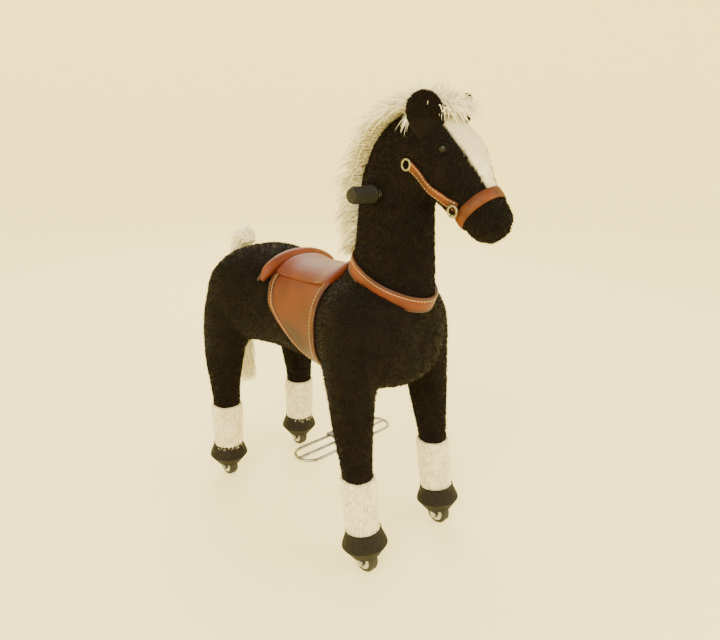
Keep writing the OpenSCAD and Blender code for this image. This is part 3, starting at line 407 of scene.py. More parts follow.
# the foam under the skin is carved: centre, reach, and how far it stands out (mm)
carving = [((0.056, -0.268, 0.768), 0.034, 5), ((0.060, -0.285, 0.842), 0.024, 4),
           ((0.060, -0.297, 0.824), 0.013, -5), ((0.030, -0.372, 0.694), 0.020, 4),
           ((0.027, -0.388, 0.706), 0.008, -7), ((0.112, -0.140, 0.470), 0.070, 6),
           ((0.115, 0.290, 0.480), 0.080, 5), ((0.0, -0.226, 0.470), 0.030, -4),
           ((0.0, 0.385, 0.480), 0.040, -5), ((0.0, -0.372, 0.672), 0.014, 3)]
mesh = whole_hide.data
points = np.array([v.co for v in mesh.vertices])
outward = np.array([v.normal for v in mesh.vertices])
points -= outward * pile_room
for centre, reach, proud in carving:
    for side in (-1, 1) if centre[0] else (1,):
        gap = np.linalg.norm(points - np.array(centre) * (side, 1, 1), axis=1)
        points += outward * (proud / 1000 * np.exp(-(gap / reach) ** 2))[:, None]
mesh.vertices.foreach_set("co", points.ravel())
mesh.update()
hide_tree = BVHTree.FromPolygons([v.co.copy() for v in mesh.vertices], [tuple(p.vertices) for p in mesh.polygons])

# the white blaze down the face: from the forelock to the noseband, (y, z, half width) along the nose
blaze = np.array([(-0.235, 0.893, 0.016), (-0.268, 0.885, 0.024), (-0.300, 0.866, 0.032), (-0.326, 0.842, 0.033),
                  (-0.340, 0.815, 0.027), (-0.350, 0.795, 0.019), (-0.362, 0.768, 0.012), (-0.374, 0.754, 0.009)])
blaze_line = flowing(blaze, 6)
blaze_fade = 0.004


def how_cream(spots):
    """1 on the blaze, 0 off it, for each spot on the head."""
    spots = np.asarray(spots)
    gaps = np.linalg.norm(spots[:, None, 1:] - blaze_line[None, :, :2], axis=2)
    nearest = gaps.argmin(axis=1)
    inside = blaze_line[nearest, 2] - np.abs(spots[:, 0])
    off_line = gaps[np.arange(len(spots)), nearest]
    ends = (nearest > 0) & (nearest < len(blaze_line) - 1)
    return np.clip(inside / blaze_fade + 0.5, 0, 1) * np.clip((0.026 - off_line) / blaze_fade, 0, 1) * ends


def cut_out(name, cuts):
    """A closed piece of the whole hide: what lies on the normal's side of every cutting plane."""
    bm = bmesh.new()
    bm.from_mesh(whole_hide.data)
    for spot, normal in cuts:
        bmesh.ops.bisect_plane(bm, geom=bm.verts[:] + bm.edges[:] + bm.faces[:], dist=1e-6, plane_co=spot,
                               plane_no=normal, clear_inner=True)
    edges = [e for e in bm.edges if e.is_boundary]
    bmesh.ops.holes_fill(bm, edges=edges, sides=0)
    bmesh.ops.recalc_face_normals(bm, faces=bm.faces)
    mesh = bpy.data.meshes.new(name)
    bm.to_mesh(mesh)
    bm.free()
    mesh.polygons.foreach_set("use_smooth", [True] * len(mesh.polygons))
    mesh.materials.append(plush)
    spots = np.array([v.co for v in mesh.vertices])
    mesh.attributes.new("cream", "FLOAT", "POINT").data.foreach_set("value", how_cream(spots).astype(np.float32))
    return add_object(name, mesh)


collar_spot = np.array([0, -0.146, 0.580])
collar_lean = math.radians(21)
collar_up = np.array([0, -math.sin(collar_lean), math.cos(collar_lean)])
leg_top = 0.352
middle_y = 0.05  # parts the front legs from the rear ones
trunk_skin = cut_out("trunk_skin", [(collar_spot, -collar_up), ((0, 0, leg_top), (0, 0, 1))])
neck_skin = cut_out("neck_and_head_skin", [(collar_spot, collar_up)])
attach(trunk_skin, "chassis")
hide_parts("body_cover", "body_foam")
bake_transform(neck_skin)
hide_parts("neck_head_cover", "neck_head_foam")
leg_skins = {}
for body, sign in (("front_legs", -1), ("rear_legs", 1)):
    for side_name, side in (("right", -1), ("left", 1)):
        skin = cut_out(f"{body[:-1]}_skin_{side_name}", [
            ((0, 0, leg_top), (0, 0, -1)), ((0, middle_y, 0), (0, sign, 0)), ((0, 0, 0), (side, 0, 0))])
        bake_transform(skin)
        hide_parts(f"{body[:-1]}_covers", f"{body[:-1]}_pads")
        leg_skins[body, side_name] = skin
bpy.data.objects.remove(whole_hide)


def unit(ways):
    """The same ways, each 1 long."""
    return ways / (np.linalg.norm(ways, axis=-1, keepdims=True) + 1e-15)


def grow(roots, along, lengths, widths, knots, seed, droop=0.0, curl=0.0, lift=None):
    """Points, faces, tip and shade values of tapering three-sided hairs, one from each root."""
    rng = np.random.default_rng(seed)
    count = len(roots)
    along = unit(along)
    spot, line = roots.copy(), [roots.copy()]
    swirl = rng.normal(0, 1, (count, 3)) * curl
    for _ in range(knots):
        along = unit(along + np.array([0, 0, -1]) * droop + swirl)
        spot = spot + along * (lengths / knots)[:, None]
        if lift is not None:
            spot = lift(spot)
        line.append(spot.copy())
    line = np.stack(line, axis=1)
    side = unit(np.cross(line[:, -1] - line[:, 0], rng.normal(0, 1, (count, 3))))
    other = unit(np.cross(line[:, -1] - line[:, 0], side))
    rings = []
    for k in range(knots):
        radius = widths / 2 * (1 - (k / knots) ** 2)
        for angle in around(3):
            rings.append(line[:, k] + radius[:, None] * (math.cos(angle) * side + math.sin(angle) * other))
    rings.append(line[:, -1])
    each = 3 * knots + 1
    points = np.stack(rings, axis=1).reshape(-1, 3)
    pattern = [(0, 2, 1)]
    for k in range(knots - 1):
        pattern += [(3 * k + t, 3 * k + (t + 1) % 3, 3 * k + 3 + (t + 1) % 3, 3 * k + 3 + t) for t in range(3)]
    pattern += [(3 * knots - 3 + t, 3 * knots - 3 + (t + 1) % 3, 3 * knots) for t in range(3)]
    faces = [tuple(n * each + i for i in face) for n in range(count) for face in pattern]
    tips = np.tile(np.append(np.repeat(np.arange(knots) / knots, 3), 1.0), count)
    shades = np.repeat(rng.uniform(0, 1, count), each)
    return points, faces, tips, shades


def make_hair(name, hair, material, cream_values=1):
    """A piece of grown hair with its tip, shade and cream values."""
    points, faces, tips, shades = hair
    mesh = bpy.data.meshes.new(name)
    mesh.from_pydata(points.tolist(), [], faces)
    for label, values in (("tip", tips), ("shade", shades), ("cream", cream_values)):
        values = (np.ones(len(points)) * values).astype(np.float32)
        mesh.attributes.new(label, "FLOAT", "POINT").data.foreach_set("value", values)
    mesh.materials.append(material)
    return add_object(name, mesh)


def scatter(skin, count, seed, keep=None):
    """Random spots on a skin, evenly by area, with the way out at each."""
    rng = np.random.default_rng(seed)
    skin.data.calc_loop_triangles()
    points = np.array([v.co for v in skin.data.vertices])
    corners = points[np.array([t.vertices for t in skin.data.loop_triangles])]
    normals = np.cross(corners[:, 1] - corners[:, 0], corners[:, 2] - corners[:, 0])
    area = np.linalg.norm(normals, axis=1)
    if keep is not None:
        area = area * keep(corners.mean(axis=1))
    chosen = rng.choice(len(corners), count, p=area / area.sum())
    u, v = rng.uniform(0, 1, (2, count))
    flip = u + v > 1
    u[flip], v[flip] = 1 - u[flip], 1 - v[flip]
    a, b, c = (corners[chosen, k] for k in range(3))
    spots = a + (b - a) * u[:, None] + (c - a) * v[:, None]
    return spots, unit(normals[chosen])


def grow_pile(skin, count, length, seed, keep, comb):
    """The short pile of a skin: combed hairs, cream where the blaze is."""
    spots, out = scatter(skin, count, seed, keep)
    rng = np.random.default_rng(seed + 1)
    flow = comb(spots)
    flow -= out * (flow * out).sum(axis=1)[:, None]
    along = out * 0.62 + unit(flow) * 0.8 + rng.normal(0, 0.16, (count, 3))
    lengths = rng.uniform(0.7, 1.2, count) * length
    hair = grow(spots - out * 0.0008, along, lengths, np.full(count, 0.0026), 1, seed + 2)
    return make_hair(skin.name + "_pile", hair, plush, np.repeat(how_cream(spots), len(hair[0]) // count))


pile = grow_pile(trunk_skin, 30000, 0.0065, 11, lambda c: (c[:, 2] > leg_top + 0.003)
                 & ((c - collar_spot) @ collar_up < -0.004), lambda s: np.tile([0.0, 0.75, -0.65], (len(s), 1)))
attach(pile, "chassis")
pile = grow_pile(neck_skin, 22000, 0.0060, 21, lambda c: (c - collar_spot) @ collar_up > 0.004,
                 lambda s: np.where((s[:, 1] < -0.26)[:, None], [[0.0, 0.2, -1.0]], [[0.0, 0.45, -0.9]]))
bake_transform(pile)
for number, ((body, side_name), skin) in enumerate(leg_skins.items()):
    pile = grow_pile(skin, 4200, 0.0060, 31 + 10 * number, lambda c: (c[:, 2] < leg_top - 0.002) & (c[:, 2] > 0.19),
                     lambda s: np.tile([0.0, 0.1, -1.0], (len(s), 1)))
    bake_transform(pile)


# ---------- socks ----------
# Cream plush sewn round each leg above the hoof: a little longer than the black pile and brushed
# down, so that it covers the hoof's top edge.
long_pile, tree, shader, place = start_material("long_pile_cream_plush", {
    "Roughness": 0.85, "Specular IOR Level": 0.3, "Sheen Weight": 0.25, "Sheen Roughness": 0.5})
tip = add_node(tree, "ShaderNodeAttribute", {"attribute_name": "tip"}).outputs["Fac"]
shade = add_node(tree, "ShaderNodeAttribute", {"attribute_name": "shade"}).outputs["Fac"]
clumps = add_node(tree, "ShaderNodeTexNoise", {}, {"Vector": place, "Scale": 60, "Detail": 4}).outputs[0]
# painted light and shade: each cream hair is drawn lighter towards its tip and darker at its root
lit = add_node(tree, "ShaderNodeMath", {"operation": "MULTIPLY_ADD"}, {0: tip, 1: 0.3, 2: clumps}).outputs[0]
lit = add_node(tree, "ShaderNodeMath", {"operation": "MULTIPLY_ADD"}, {0: shade, 1: 0.5, 2: lit}).outputs[0]
two_shades(tree, shader, lit, "#BCAF88", "#FFF8E2", (0.3, 1.05))
strands = add_node(tree, "ShaderNodeTexNoise", {}, {"Vector": place, "Scale": 700, "Detail": 3}).outputs[0]
relief(tree, shader, strands, 0.5, 0.5)

for body, leg, covers in (("front_legs", front_leg, "front_socks"), ("rear_legs", rear_leg, "rear_socks")):
    low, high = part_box(covers)
    rows = flowing(leg, 12)
    inside = rows[(rows[:, 0] < high[2] - 0.004) & (rows[:, 0] > low[2] + 0.012)]
    for side_name, side in (("right", -1), ("left", 1)):
        core = make_piece(f"{covers[:-1]}_core_{side_name}", [loft([
            rounded_ring((side * x, y, z), half_x + 0.002, half_y + 0.002, (0, 1, 0), 1.0)
            for z, y, half_y, x, half_x in inside])], long_pile)
        spots, out = scatter(core, 5200, 71 + side)
        rng = np.random.default_rng(75 + side)
        along = out * 0.45 + np.array([0, 0, -1]) + rng.normal(0, 0.14, spots.shape)
        lengths = rng.uniform(0.007, 0.012, len(spots))
        hair = grow(spots - out * 0.001, along, lengths, np.full(len(spots), 0.0026), 2, 79 + side, droop=0.05)
        shag = make_hair(f"{covers[:-1]}_shag_{side_name}", hair, long_pile)
        for piece in (core, shag):
            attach(piece, body)
        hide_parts(covers)


# ---------- mane and forelock ----------
# Long cream acrylic hair sewn into the crest seam from the withers to the poll; it falls to both
# sides, and the forelock falls forward between the ears.
crest = flowing(neck[2:10, 2:4], 10)[8:]
hair_width = 0.0034


def lie_outside(clear):
    """Keeps a lock of hair from sinking into the neck: clear is how far off the skin it stays."""
    def lift(spots):
        lifted = spots.copy()
        for n, spot in enumerate(spots):
            near, out, _, _ = hide_tree.find_nearest(Vector(spot))
            if (Vector(spot) - near).dot(out) < clear:
                lifted[n] = near + out * clear
        return lifted
    return lift


def strung(line, pick):
    """The spot and the way on at each place picked along a line."""
    base = pick.astype(int)
    step = line[base + 1] - line[base]
    return line[base] + step * (pick - base)[:, None], unit(step)


rng = np.random.default_rng(91)
count = 3400
pick = rng.uniform(0, len(crest) - 1.001, count)
yz, slope = strung(crest, pick)
back = np.stack([-slope[:, 1], slope[:, 0]], axis=1)
back = np.where((back[:, 0] > 0)[:, None] | (back[:, 1] > 0.5)[:, None], back, -back)
sideways = rng.normal(0, 0.010, count) * np.interp(pick / len(crest), [0, 0.5, 0.8, 0.92], [1, 1.6, 1.6, 0.6])
roots = np.column_stack([sideways, yz - back * 0.004])
along = np.column_stack([sideways * 42 + rng.normal(0, 0.25, count),
                         back + rng.normal(0, 0.2, (count, 2)) - slope * 0.25])
full_length = np.interp(pick / (len(crest) - 1), [0, 0.3, 0.75, 1], [0.040, 0.058, 0.066, 0.050])
hair = grow(roots, along, rng.uniform(0.75, 1.15, count) * full_length, np.full(count, hair_width), 6, 92,
            droop=0.26, curl=0.05, lift=lie_outside(0.004))
mane = make_hair("mane_hair", hair, long_pile)
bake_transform(mane)
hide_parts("mane")

count = 1300
rng = np.random.default_rng(95)
start = rng.uniform(0, 1, count)
roots = np.column_stack([rng.normal(0, 0.011, count), -0.205 - 0.072 * start, 0.893 - 0.016 * start ** 2])
along = np.column_stack([roots[:, 0] * 8 + rng.normal(0, 0.12, count), rng.normal(-0.42, 0.18, count),
                         rng.normal(0.85, 0.14, count)])
hair = grow(roots, along, rng.uniform(0.034, 0.056, count), np.full(count, hair_width), 6, 96, droop=0.36,
            curl=0.04, lift=lie_outside(0.004))
forelock = make_hair("forelock_hair", hair, long_pile)
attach(forelock, "neck")
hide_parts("forelock")


# ---------- tail ----------
# A hank of the same long cream hair gathered at the dock: it springs up in a tuft and hangs down
# behind the legs.
dock = flowing([(0.336, 0.596), (0.350, 0.610), (0.372, 0.600), (0.385, 0.566), (0.391, 0.500), (0.392, 0.400),
                (0.391, 0.300), (0.389, 0.236)], 8)
rng = np.random.default_rng(101)
count = 3600
pick = rng.beta(0.8, 1.5, count) * (len(dock) - 1.001)
yz, slope = strung(dock, pick)
turn = rng.uniform(0, 2 * math.pi, count)
spread = np.interp(pick / len(dock), [0, 0.15, 0.5, 1], [0.010, 0.018, 0.017, 0.015])
spread *= np.sqrt(rng.uniform(0, 1, count))
side, out = np.cos(turn) * spread, np.sin(turn) * spread * 0.6
roots = np.column_stack([side, yz[:, 0] - slope[:, 1] * out, yz[:, 1] + slope[:, 0] * out])
fan, stray_by = 14, 0.12
along = np.column_stack([side * fan + rng.normal(0, stray_by, count),
                         slope[:, 0] - slope[:, 1] * out * fan + rng.normal(0, stray_by, count),
                         slope[:, 1] + slope[:, 0] * out * fan + rng.normal(0, stray_by, count)])
lengths = rng.uniform(0.045, 0.085, count) * np.interp(pick / len(dock), [0, 0.2, 0.4], [0.5, 0.8, 1.0])
tail_end = 0.205
lengths = np.minimum(lengths, np.maximum(roots[:, 2] - tail_end, 0.02))
hair = grow(roots, along, lengths, np.full(count, 0.0036), 6, 102, droop=0.24, curl=0.04)
core_half = np.interp(np.arange(len(dock)), [0, 8, 30, 50, 56], [0.009, 0.016, 0.019, 0.017, 0.008])
core = make_piece("tail_core", [loft([
    rounded_ring((0, y, z), half, half * 0.45, (0, -dz, dy))
    for (y, z), (dy, dz), half in zip(dock, unit(np.gradient(dock, axis=0)), core_half)])], long_pile)
tail_hair = make_hair("tail_hair", hair, long_pile)
for piece in (core, tail_hair):
    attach(piece, "chassis")
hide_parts("tail")


# ---------- ears ----------
# Two rounded plush cups sewn into the head seam and stiffened with felt, black inside and out; the
# hollow faces forward and out.
def ear(side):
    """Closed shell of one ear: rows from foot to tip, each row a shallow cup."""
    foot, tip_spot = np.array([side * 0.037, -0.262, 0.846]), np.array([side * 0.066, -0.252, 0.911])
    rise = tip_spot - foot
    across = np.array([side * 0.72, 0.68, 0.0])
    across = unit(across - rise * (across @ rise) / (rise @ rise))
    back = np.cross(across, unit(rise)) * side
    rows = []
    for t in np.linspace(0, 1, 13):
        half = 0.032 * math.sqrt(max(1 - (max(t - 0.42, 0) / 0.585) ** 2.4, 0.0)) * (0.72 + 0.28 * min(t / 0.4, 1))
        cup = 0.013 * (1 - 0.5 * t)
        arc = np.linspace(-1, 1, 9)
        outer = [foot + rise * t + across * half * a + back * cup * (1 - a * a) for a in arc]
        inner = [foot + rise * t + across * half * a * 0.86 + back * (cup * (1 - a * a) - 0.005) for a in arc[::-1]]
        rows.append(outer + inner)
    return loft(rows)


ear_piece = make_piece("ear_cups", [ear(-1), ear(1)], plush)
settle(ear_piece, [("SUBSURF", {"levels": 1})])
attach(ear_piece, "neck")
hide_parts("ears")
pile = grow_pile(ear_piece, 3600, 0.0055, 111, lambda c: c[:, 2] > 0.868,
                 lambda s: np.tile([0.0, 0.0, 1.0], (len(s), 1)))
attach(pile, "neck")


# ---------- eyes ----------
# Domed dark-brown acrylic eyes pushed through the plush on a stalk, each in a black lid rim.
eye_gloss, tree, shader, place = start_material("glossy_acrylic_eye", {
    "Roughness": 0.14, "IOR": 1.45, "Specular IOR Level": 0.35})
iris = add_node(tree, "ShaderNodeTexNoise", {}, {"Vector": place, "Scale": 300, "Detail": 2}).outputs[0]
two_shades(tree, shader, iris, "#040202", "#0D0603")
lids, domes = [], []
for side in (-1, 1):
    middle = Vector((side * 0.0585, -0.2965, 0.8265))
    near, out, _, _ = hide_tree.find_nearest(middle)
    out = np.array(out)
    level = unit(np.cross(out, [0, 0, 1.0]))
    upright = np.cross(level, out)
    rim = np.cos(around(24))[:, None] * level * 1.15 + np.sin(around(24))[:, None] * upright
    domes.append(loft([np.array(near) - out * 0.002 + rim * 0.0076 * math.cos(t) + out * 0.0058 * math.sin(t)
                       for t in np.linspace(0, 1.5, 9)]))
    lids.append(loft([np.array(near) + rim * (0.0082 + 0.0022 * math.cos(t)) + out * 0.0032 * math.sin(t)
                      for t in around(12)], closed=True))
eye_domes = make_piece("eye_domes", domes, eye_gloss)
eye_lids = make_piece("eye_lids", lids, plush)
for piece in (eye_domes, eye_lids):
    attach(piece, "neck")
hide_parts("eyes")


# ---------- saddle ----------
# Tan leather-look vinyl: a padded seat over the board, a flap down each side, a stuffed cantle roll
# behind, and paler binding with dark piping and stitches along the edges.
vinyl, tree, shader, place = start_material("tan_vinyl", {"IOR": 1.5, "Specular IOR Level": 0.35})
# leather grain: cells 1.6 mm across; dyed patches 60 mm across; and painted shade, darker low on the flaps and
# lighter up on the seat
cells = add_node(tree, "ShaderNodeTexVoronoi", {}, {"Vector": place, "Scale": 600}).outputs["Distance"]
dye = add_node(tree, "ShaderNodeTexNoise", {}, {"Vector": place, "Scale": 17, "Detail": 5}).outputs[0]
height = add_node(tree, "ShaderNodeSeparateXYZ", {}, {0: place}).outputs["Z"]
# painted shade: the vinyl is drawn darker from 0.62 m down to 0.42 m above the floor, on the seat, flaps, cantle roll
# and collar
lift = add_node(tree, "ShaderNodeMapRange", {}, {"Value": height, "From Min": 0.42, "From Max": 0.62,
                                                 "To Min": -0.25, "To Max": 0.3}).outputs[0]
dye_and_painted_shade = add_node(tree, "ShaderNodeMath", {"operation": "ADD"}, {0: dye, 1: lift}).outputs[0]
two_shades(tree, shader, dye_and_painted_shade, "#2E0D05", "#74300C", (0.2, 0.95))
worn = add_node(tree, "ShaderNodeMapRange", {}, {"Value": dye, "To Min": 0.38, "To Max": 0.6}).outputs[0]
tree.links.new(worn, shader.inputs["Roughness"])
relief(tree, shader, cells, 0.25)

binding, tree, shader, place = start_material("pale_vinyl_binding", {
    "Roughness": 0.55, "IOR": 1.5, "Specular IOR Level": 0.3})
cells = add_node(tree, "ShaderNodeTexVoronoi", {}, {"Vector": place, "Scale": 650}).outputs["Distance"]
dye = add_node(tree, "ShaderNodeTexNoise", {}, {"Vector": place, "Scale": 25, "Detail": 5}).outputs[0]
two_shades(tree, shader, dye, "#3C1907", "#68340F")
relief(tree, shader, cells, 0.2)

dark_piping, tree, shader, place = start_material("dark_vinyl_piping", {"Roughness": 0.45, "IOR": 1.5})
crease = add_node(tree, "ShaderNodeTexNoise", {}, {"Vector": place, "Scale": 300, "Detail": 4}).outputs[0]
two_shades(tree, shader, crease, "#2A120A", "#4A2413")
relief(tree, shader, crease, 0.2)

waxed_thread, tree, shader, place = start_material("waxed_thread", {"Roughness": 0.6})
twist = add_node(tree, "ShaderNodeTexWave", {}, {"Vector": place, "Scale": 400, "Distortion": 1}).outputs[0]
two_shades(tree, shader, twist, "#C9A877", "#EAD4A8", (0.2, 0.8))
relief(tree, shader, twist, 0.1)

edge_z = np.array([0.392, 0.400, 0.430, 0.455, 0.470, 0.500, 0.545, 0.600])
front_edge = np.array([-0.040, -0.048, -0.055, -0.057, -0.058, -0.055, -0.046, -0.038])
rear_edge = np.array([-0.022, 0.000, 0.040, 0.067, 0.084, 0.114, 0.133, 0.141])


def on_trunk(y, angle, off):
    """The spot off the trunk's skin seen from its middle line at y, at an angle from level."""
    way = Vector((math.cos(angle), 0, math.sin(angle)))
    near, out, _, _ = hide_tree.ray_cast(Vector((0, y, 0.475)) + way * 0.3, -way)
    return np.array(near) + np.array(out) * off, np.array(out)


def leather_panel(angles, across, thickness):
    """A closed panel over the trunk: one row for each angle, its edges on the saddle's outline."""
    outer, inner = [], []
    for angle in angles:
        z = on_trunk(0.03, angle, 0.0)[0][2]
        y0, y1 = np.interp(z, edge_z, front_edge), np.interp(z, edge_z, rear_edge)
        top, under = [], []
        for t in np.linspace(0, 1, across):
            y = y0 + (y1 - y0) * t
            top.append(on_trunk(y, angle, 0.003 + thickness(t, z))[0])
            under.append(on_trunk(y, angle, -0.002)[0])
        outer.append(top)
        inner.append(under)
    return loft([a + b[::-1] for a, b in zip(outer, inner)])


def seat_thickness(t, z):
    """The seat's padding: t runs from pommel to cantle, and it thins to the sides as z falls."""
    swell = math.sin(math.pi * t) ** 0.45
    rise = 0.006 * math.exp(-((t - 0.08) / 0.12) ** 2) + 0.010 * math.exp(-((t - 1) / 0.16) ** 2)
    return 0.002 + (0.011 * swell + rise) * np.interp(z, [0.54, 0.57], [0.35, 1.0])


def flap_thickness(t, z):
    """A flap's padding, the same all the way down: t runs from its front edge to its rear one."""
    return 0.0015 + 0.0035 * math.sin(math.pi * t) ** 0.4


seat = make_piece("saddle_seat_pad", [leather_panel(np.radians(np.linspace(46, 134, 37)), 25, seat_thickness)], vinyl)
settle(seat, [("SUBSURF", {"levels": 1})])
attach(seat, "chassis")
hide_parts("saddle_seat")
for side_name, low_angle, high_angle in (("left", -52, 48), ("right", 232, 132)):
    flap = make_piece(f"saddle_flap_{side_name}", [leather_panel(
        np.radians(np.linspace(high_angle, low_angle, 33)), 15, flap_thickness)], vinyl)
    settle(flap, [("SUBSURF", {"levels": 1})])
    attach(flap, "chassis")
    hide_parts("saddle_flaps")


def swept(path, out, profile, closed=False):
    """A strip or tube along path: profile is (sideways, outwards) pairs, out the way up at each spot."""
    path, out = np.asarray(path, float), np.asarray(out, float)
    ahead = np.roll(path, -1, axis=0) - np.roll(path, 1, axis=0) if closed else np.gradient(path, axis=0)
    side = unit(np.cross(ahead, out))
    profile = np.asarray(profile, float)
    rings = (path[:, None] + side[:, None] * profile[None, :, 0, None] + out[:, None] * profile[None, :, 1, None])
    return loft(rings, closed)


def round_profile(half_width, half_height, count=10):
    """Profile of a round or flattened cord."""
    return [(half_width * math.cos(a), half_height * math.sin(a)) for a in around(count)]


def dashes(path, out, pitch, length, thread):
    """Stitches: short flattened dashes of thread set along a path."""
    path, out = np.asarray(path), np.asarray(out)
    steps = np.linalg.norm(np.diff(path, axis=0), axis=1)
    run = np.concatenate([[0], np.cumsum(steps)])
    parts = []
    for start in np.arange(pitch / 2, run[-1] - length, pitch):
        at = np.linspace(start, start + length, 5)
        spots = np.column_stack([np.interp(at, run, path[:, k]) for k in range(3)])
        ways = unit(np.column_stack([np.interp(at, run, out[:, k]) for k in range(3)]))
        arch = np.array([-0.4, 0.6, 1, 0.6, -0.4]) * thread
        parts.append(swept(spots + ways * arch[:, None], ways, round_profile(thread * 0.8, thread * 0.6, 6)))
    return parts


def traced(pairs):
    """Spots and their ways out as two arrays, from pairs of them."""
    spots, ways = zip(*pairs)
    return np.array(spots), np.array(ways)


# how far in from the edge, and how far off the skin, each part of the bound edge lies
edge_parts = {"strip": (0.007, 0.0055), "pipe": (-0.0005, 0.0045), "inner": (0.0145, 0.0062),
              "thread": (0.0105, 0.0082)}
bindings, pipings, stitches = [], [], []
for side in (-1, 1):
    for edge, inset in ((front_edge, 1), (rear_edge, -1)):
        angles = np.radians([degrees if side > 0 else 180 - degrees for degrees in np.linspace(49, -50, 60)])
        edge_y = [np.interp(on_trunk(0.03, angle, 0.0)[0][2], edge_z, edge) for angle in angles]
        lines = {label: traced([on_trunk(y + inset * shift, angle, off) for y, angle in zip(edge_y, angles)])
                 for label, (shift, off) in edge_parts.items()}
        bindings.append(swept(*lines["strip"], round_profile(0.0065, 0.0022, 12)))
        pipings.append(swept(*lines["pipe"], round_profile(0.0022, 0.0022)))
        pipings.append(swept(*lines["inner"], round_profile(0.0011, 0.0012)))
        stitches += dashes(*lines["thread"], 0.0075, 0.0048, 0.0007)
for name, parts, material in (("saddle_binding", bindings, binding), ("saddle_piping", pipings, dark_piping),
                              ("saddle_stitching", stitches, waxed_thread)):
    piece = make_piece(name, parts, material)
    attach(piece, "chassis")

roll_angles = np.radians(np.linspace(33, 147, 49))
roll_path, roll_out = traced([on_trunk(0.148, a, 0.0125) for a in roll_angles])
fullness = np.clip(np.sin(np.linspace(0, math.pi, 49)) * 3.4, 0.35, 1) ** 0.7
rings = []
for spot, way, full in zip(roll_path, roll_out, fullness):
    backwards = np.array([0, 1.0, 0]) - way * way[1]
    rings.append([spot + backwards * 0.0150 * full * math.cos(a) + way * 0.0140 * full * math.sin(a)
                  for a in around(16)])
roll = make_piece("saddle_cantle_roll", [loft(rings)], vinyl)
settle(roll, [("SUBSURF", {"levels": 1})])
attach(roll, "chassis")
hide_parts("saddle_roll")
roll_piping_and_painted_shadow = []
# the first tube is the outer piping behind the roll; the second, a dark tube along the roll's front foot, is a
# painted shadow under the roll's front
for y, off, radius in ((0.1655, 0.0050, 0.0028), (0.1305, 0.0050, 0.0022)):
    path, out = traced([on_trunk(y, a, off) for a in roll_angles])
    roll_piping_and_painted_shadow.append(swept(path, out, round_profile(radius, radius)))
roll_edge_and_painted_shadow = make_piece("saddle_roll_piping", roll_piping_and_painted_shadow, dark_piping)
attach(roll_edge_and_painted_shadow, "chassis")


# ---------- neck collar ----------
# A tan vinyl band over the seam where the neck turns on the body, padded a little, piped along both
# edges and stitched along the upper one.
def eased(path, times):
    """A closed path with its corners evened out."""
    for _ in range(times):
        path = (np.roll(path, 1, 0) + path * 2 + np.roll(path, -1, 0)) / 4
    return path


collar_path, collar_out = [], []
level = np.array([0, collar_up[2], -collar_up[1]])
for angle in around(72):
    way = np.array([math.cos(angle), 0, 0]) + level * math.sin(angle)
    spot, out, _, _ = hide_tree.ray_cast(Vector(collar_spot + way * 0.25), Vector(-way))
    collar_path.append(np.array(spot))
    collar_out.append(unit(np.array(out) - collar_up * (np.array(out) @ collar_up)))
collar_path, collar_out = eased(np.array(collar_path), 3), np.array(collar_out)
band_profile = [(-0.014, 0.000), (-0.0135, 0.0045), (-0.008, 0.0062), (0, 0.0068), (0.008, 0.0062), (0.0135, 0.0045),
                (0.014, 0.000), (0, -0.001)]
collar = make_piece("neck_collar_band", [swept(collar_path, collar_out, band_profile, closed=True)], vinyl)
pipe_profile = [(u, v + 0.0042) for u, v in round_profile(0.0021, 0.0021)]
collar_pipe = make_piece("neck_collar_piping", [
    swept(collar_path + collar_up * shift, collar_out, pipe_profile, closed=True) for shift in (-0.0138, 0.0138)],
    dark_piping)
collar_thread = make_piece("neck_collar_stitching", dashes(collar_path + collar_up * 0.0095 + collar_out * 0.0064,
                                                           collar_out, 0.0075, 0.0048, 0.0007), waxed_thread)
for piece in (collar, collar_pipe, collar_thread):
    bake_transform(piece)
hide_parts("neck_collar")


# ---------- halter ----------
# Noseband and cheek straps of folded tan vinyl, 21 and 18 mm wide, joined at nickel rings; the cheek
# straps are stitched down both edges.
nickel, tree, shader, place = start_material("nickel_plate", {"Metallic": 1.0, "Roughness": 0.3})
haze = add_node(tree, "ShaderNodeTexNoise", {}, {"Vector": place, "Scale": 200, "Detail": 4}).outputs[0]
two_shades(tree, shader, haze, "#77705C", "#A69E88")
relief(tree, shader, haze, 0.03)
paint(nickel, "halter_rings")


def on_head(station, degrees, off):
    """The spot off the head's skin: station counts along the neck table, 90 degrees is the throat."""
    k = min(int(station), len(neck) - 2)
    row = neck[k] + (station - k) * (neck[k + 1] - neck[k])
    front, back = np.array([0, *row[0:2]]), np.array([0, *row[2:4]])
    angle = math.radians(degrees)
    way = np.array([math.cos(angle) * row[4], 0, 0]) + (front - back) / 2 * math.sin(angle)
    middle = (front + back) / 2
    spot, out, _, _ = hide_tree.find_nearest(Vector(middle + way))
    return np.array(spot) + np.array(out) * off, np.array(out)


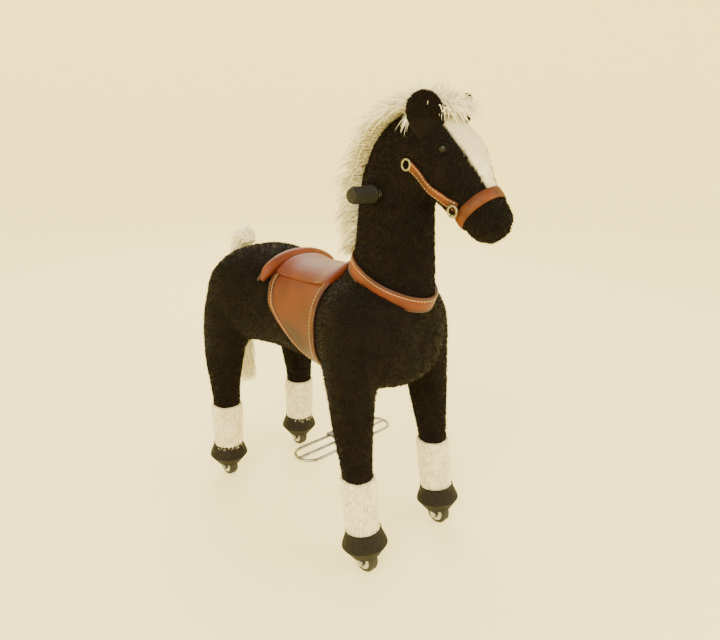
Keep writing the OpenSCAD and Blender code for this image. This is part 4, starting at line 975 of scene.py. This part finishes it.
strap_parts, strap_threads = [], []
strap_profile = [(-0.009, 0.0005), (-0.0083, 0.0026), (0, 0.0033), (0.0083, 0.0026), (0.009, 0.0005), (0, -0.001)]
spots, ways = traced([on_head(12.25, a, 0.003) for a in np.linspace(0, 360, 61)[:-1]])
strap_parts.append(swept(eased(spots, 2), ways, [(u * 1.15, v) for u, v in strap_profile], closed=True))
for side in (-1, 1):
    stations = np.linspace(8.15, 11.75, 26)
    angles = np.interp(stations, [8, 9, 10, 11, 12], [15, 27, 29, 22, 10])
    spots, ways = traced([on_head(u, a if side > 0 else 180 - a, 0.003) for u, a in zip(stations, angles)])
    strap_parts.append(swept(spots, ways, strap_profile))
    edge = unit(np.cross(np.gradient(spots, axis=0), ways))
    for shift in (-0.0068, 0.0068):
        strap_threads += dashes(spots + edge * shift + ways * 0.0026, ways, 0.006, 0.0038, 0.0006)
halter = make_piece("halter_straps", strap_parts, binding)
halter_thread = make_piece("halter_stitching", strap_threads, waxed_thread)
for piece in (halter, halter_thread):
    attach(piece, "neck")
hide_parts("halter_noseband", "halter_cheek_straps")


# ---------- handlebar grips ----------
# Soft black thermoplastic rubber sleeves with finger ribs and an end flange, pushed on the bar.
grip_rubber, tree, shader, place = start_material("grip_rubber", {
    "Roughness": 0.6, "IOR": 1.5, "Specular IOR Level": 0.3})
haze = add_node(tree, "ShaderNodeTexNoise", {}, {"Vector": place, "Scale": 500, "Detail": 4}).outputs[0]
two_shades(tree, shader, haze, "#070606", "#131110")
relief(tree, shader, haze, 0.1)
low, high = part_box("handlebar_grips")
bar_y, bar_z = (low[1] + high[1]) / 2, (low[2] + high[2]) / 2
grip_r = (high[2] - low[2]) / 2
grip_length, rib_count, rib_rise, flange_rise = 0.054, 11, 0.0022, 0.003
grip_parts = []
for side in (-1, 1):
    rings = []
    for t in np.linspace(0, 1, 121):
        x = high[0] - t * grip_length
        ribs = rib_rise * math.cos(t * 2 * math.pi * rib_count) ** 2 if 0.12 < t < 0.9 else 0
        flange = flange_rise if t >= 0.93 else 0
        radius = min(grip_r - 0.0040 + ribs + flange, grip_r) * min(1.0, 0.75 + 9 * t)
        rings.append([(side * x, bar_y + radius * math.cos(a), bar_z + radius * math.sin(a))
                      for a in around(32)])
    grip_parts.append(loft(rings))
grips = make_piece("rubber_grips", grip_parts, grip_rubber)
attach(grips, "neck")
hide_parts("handlebar_grips")
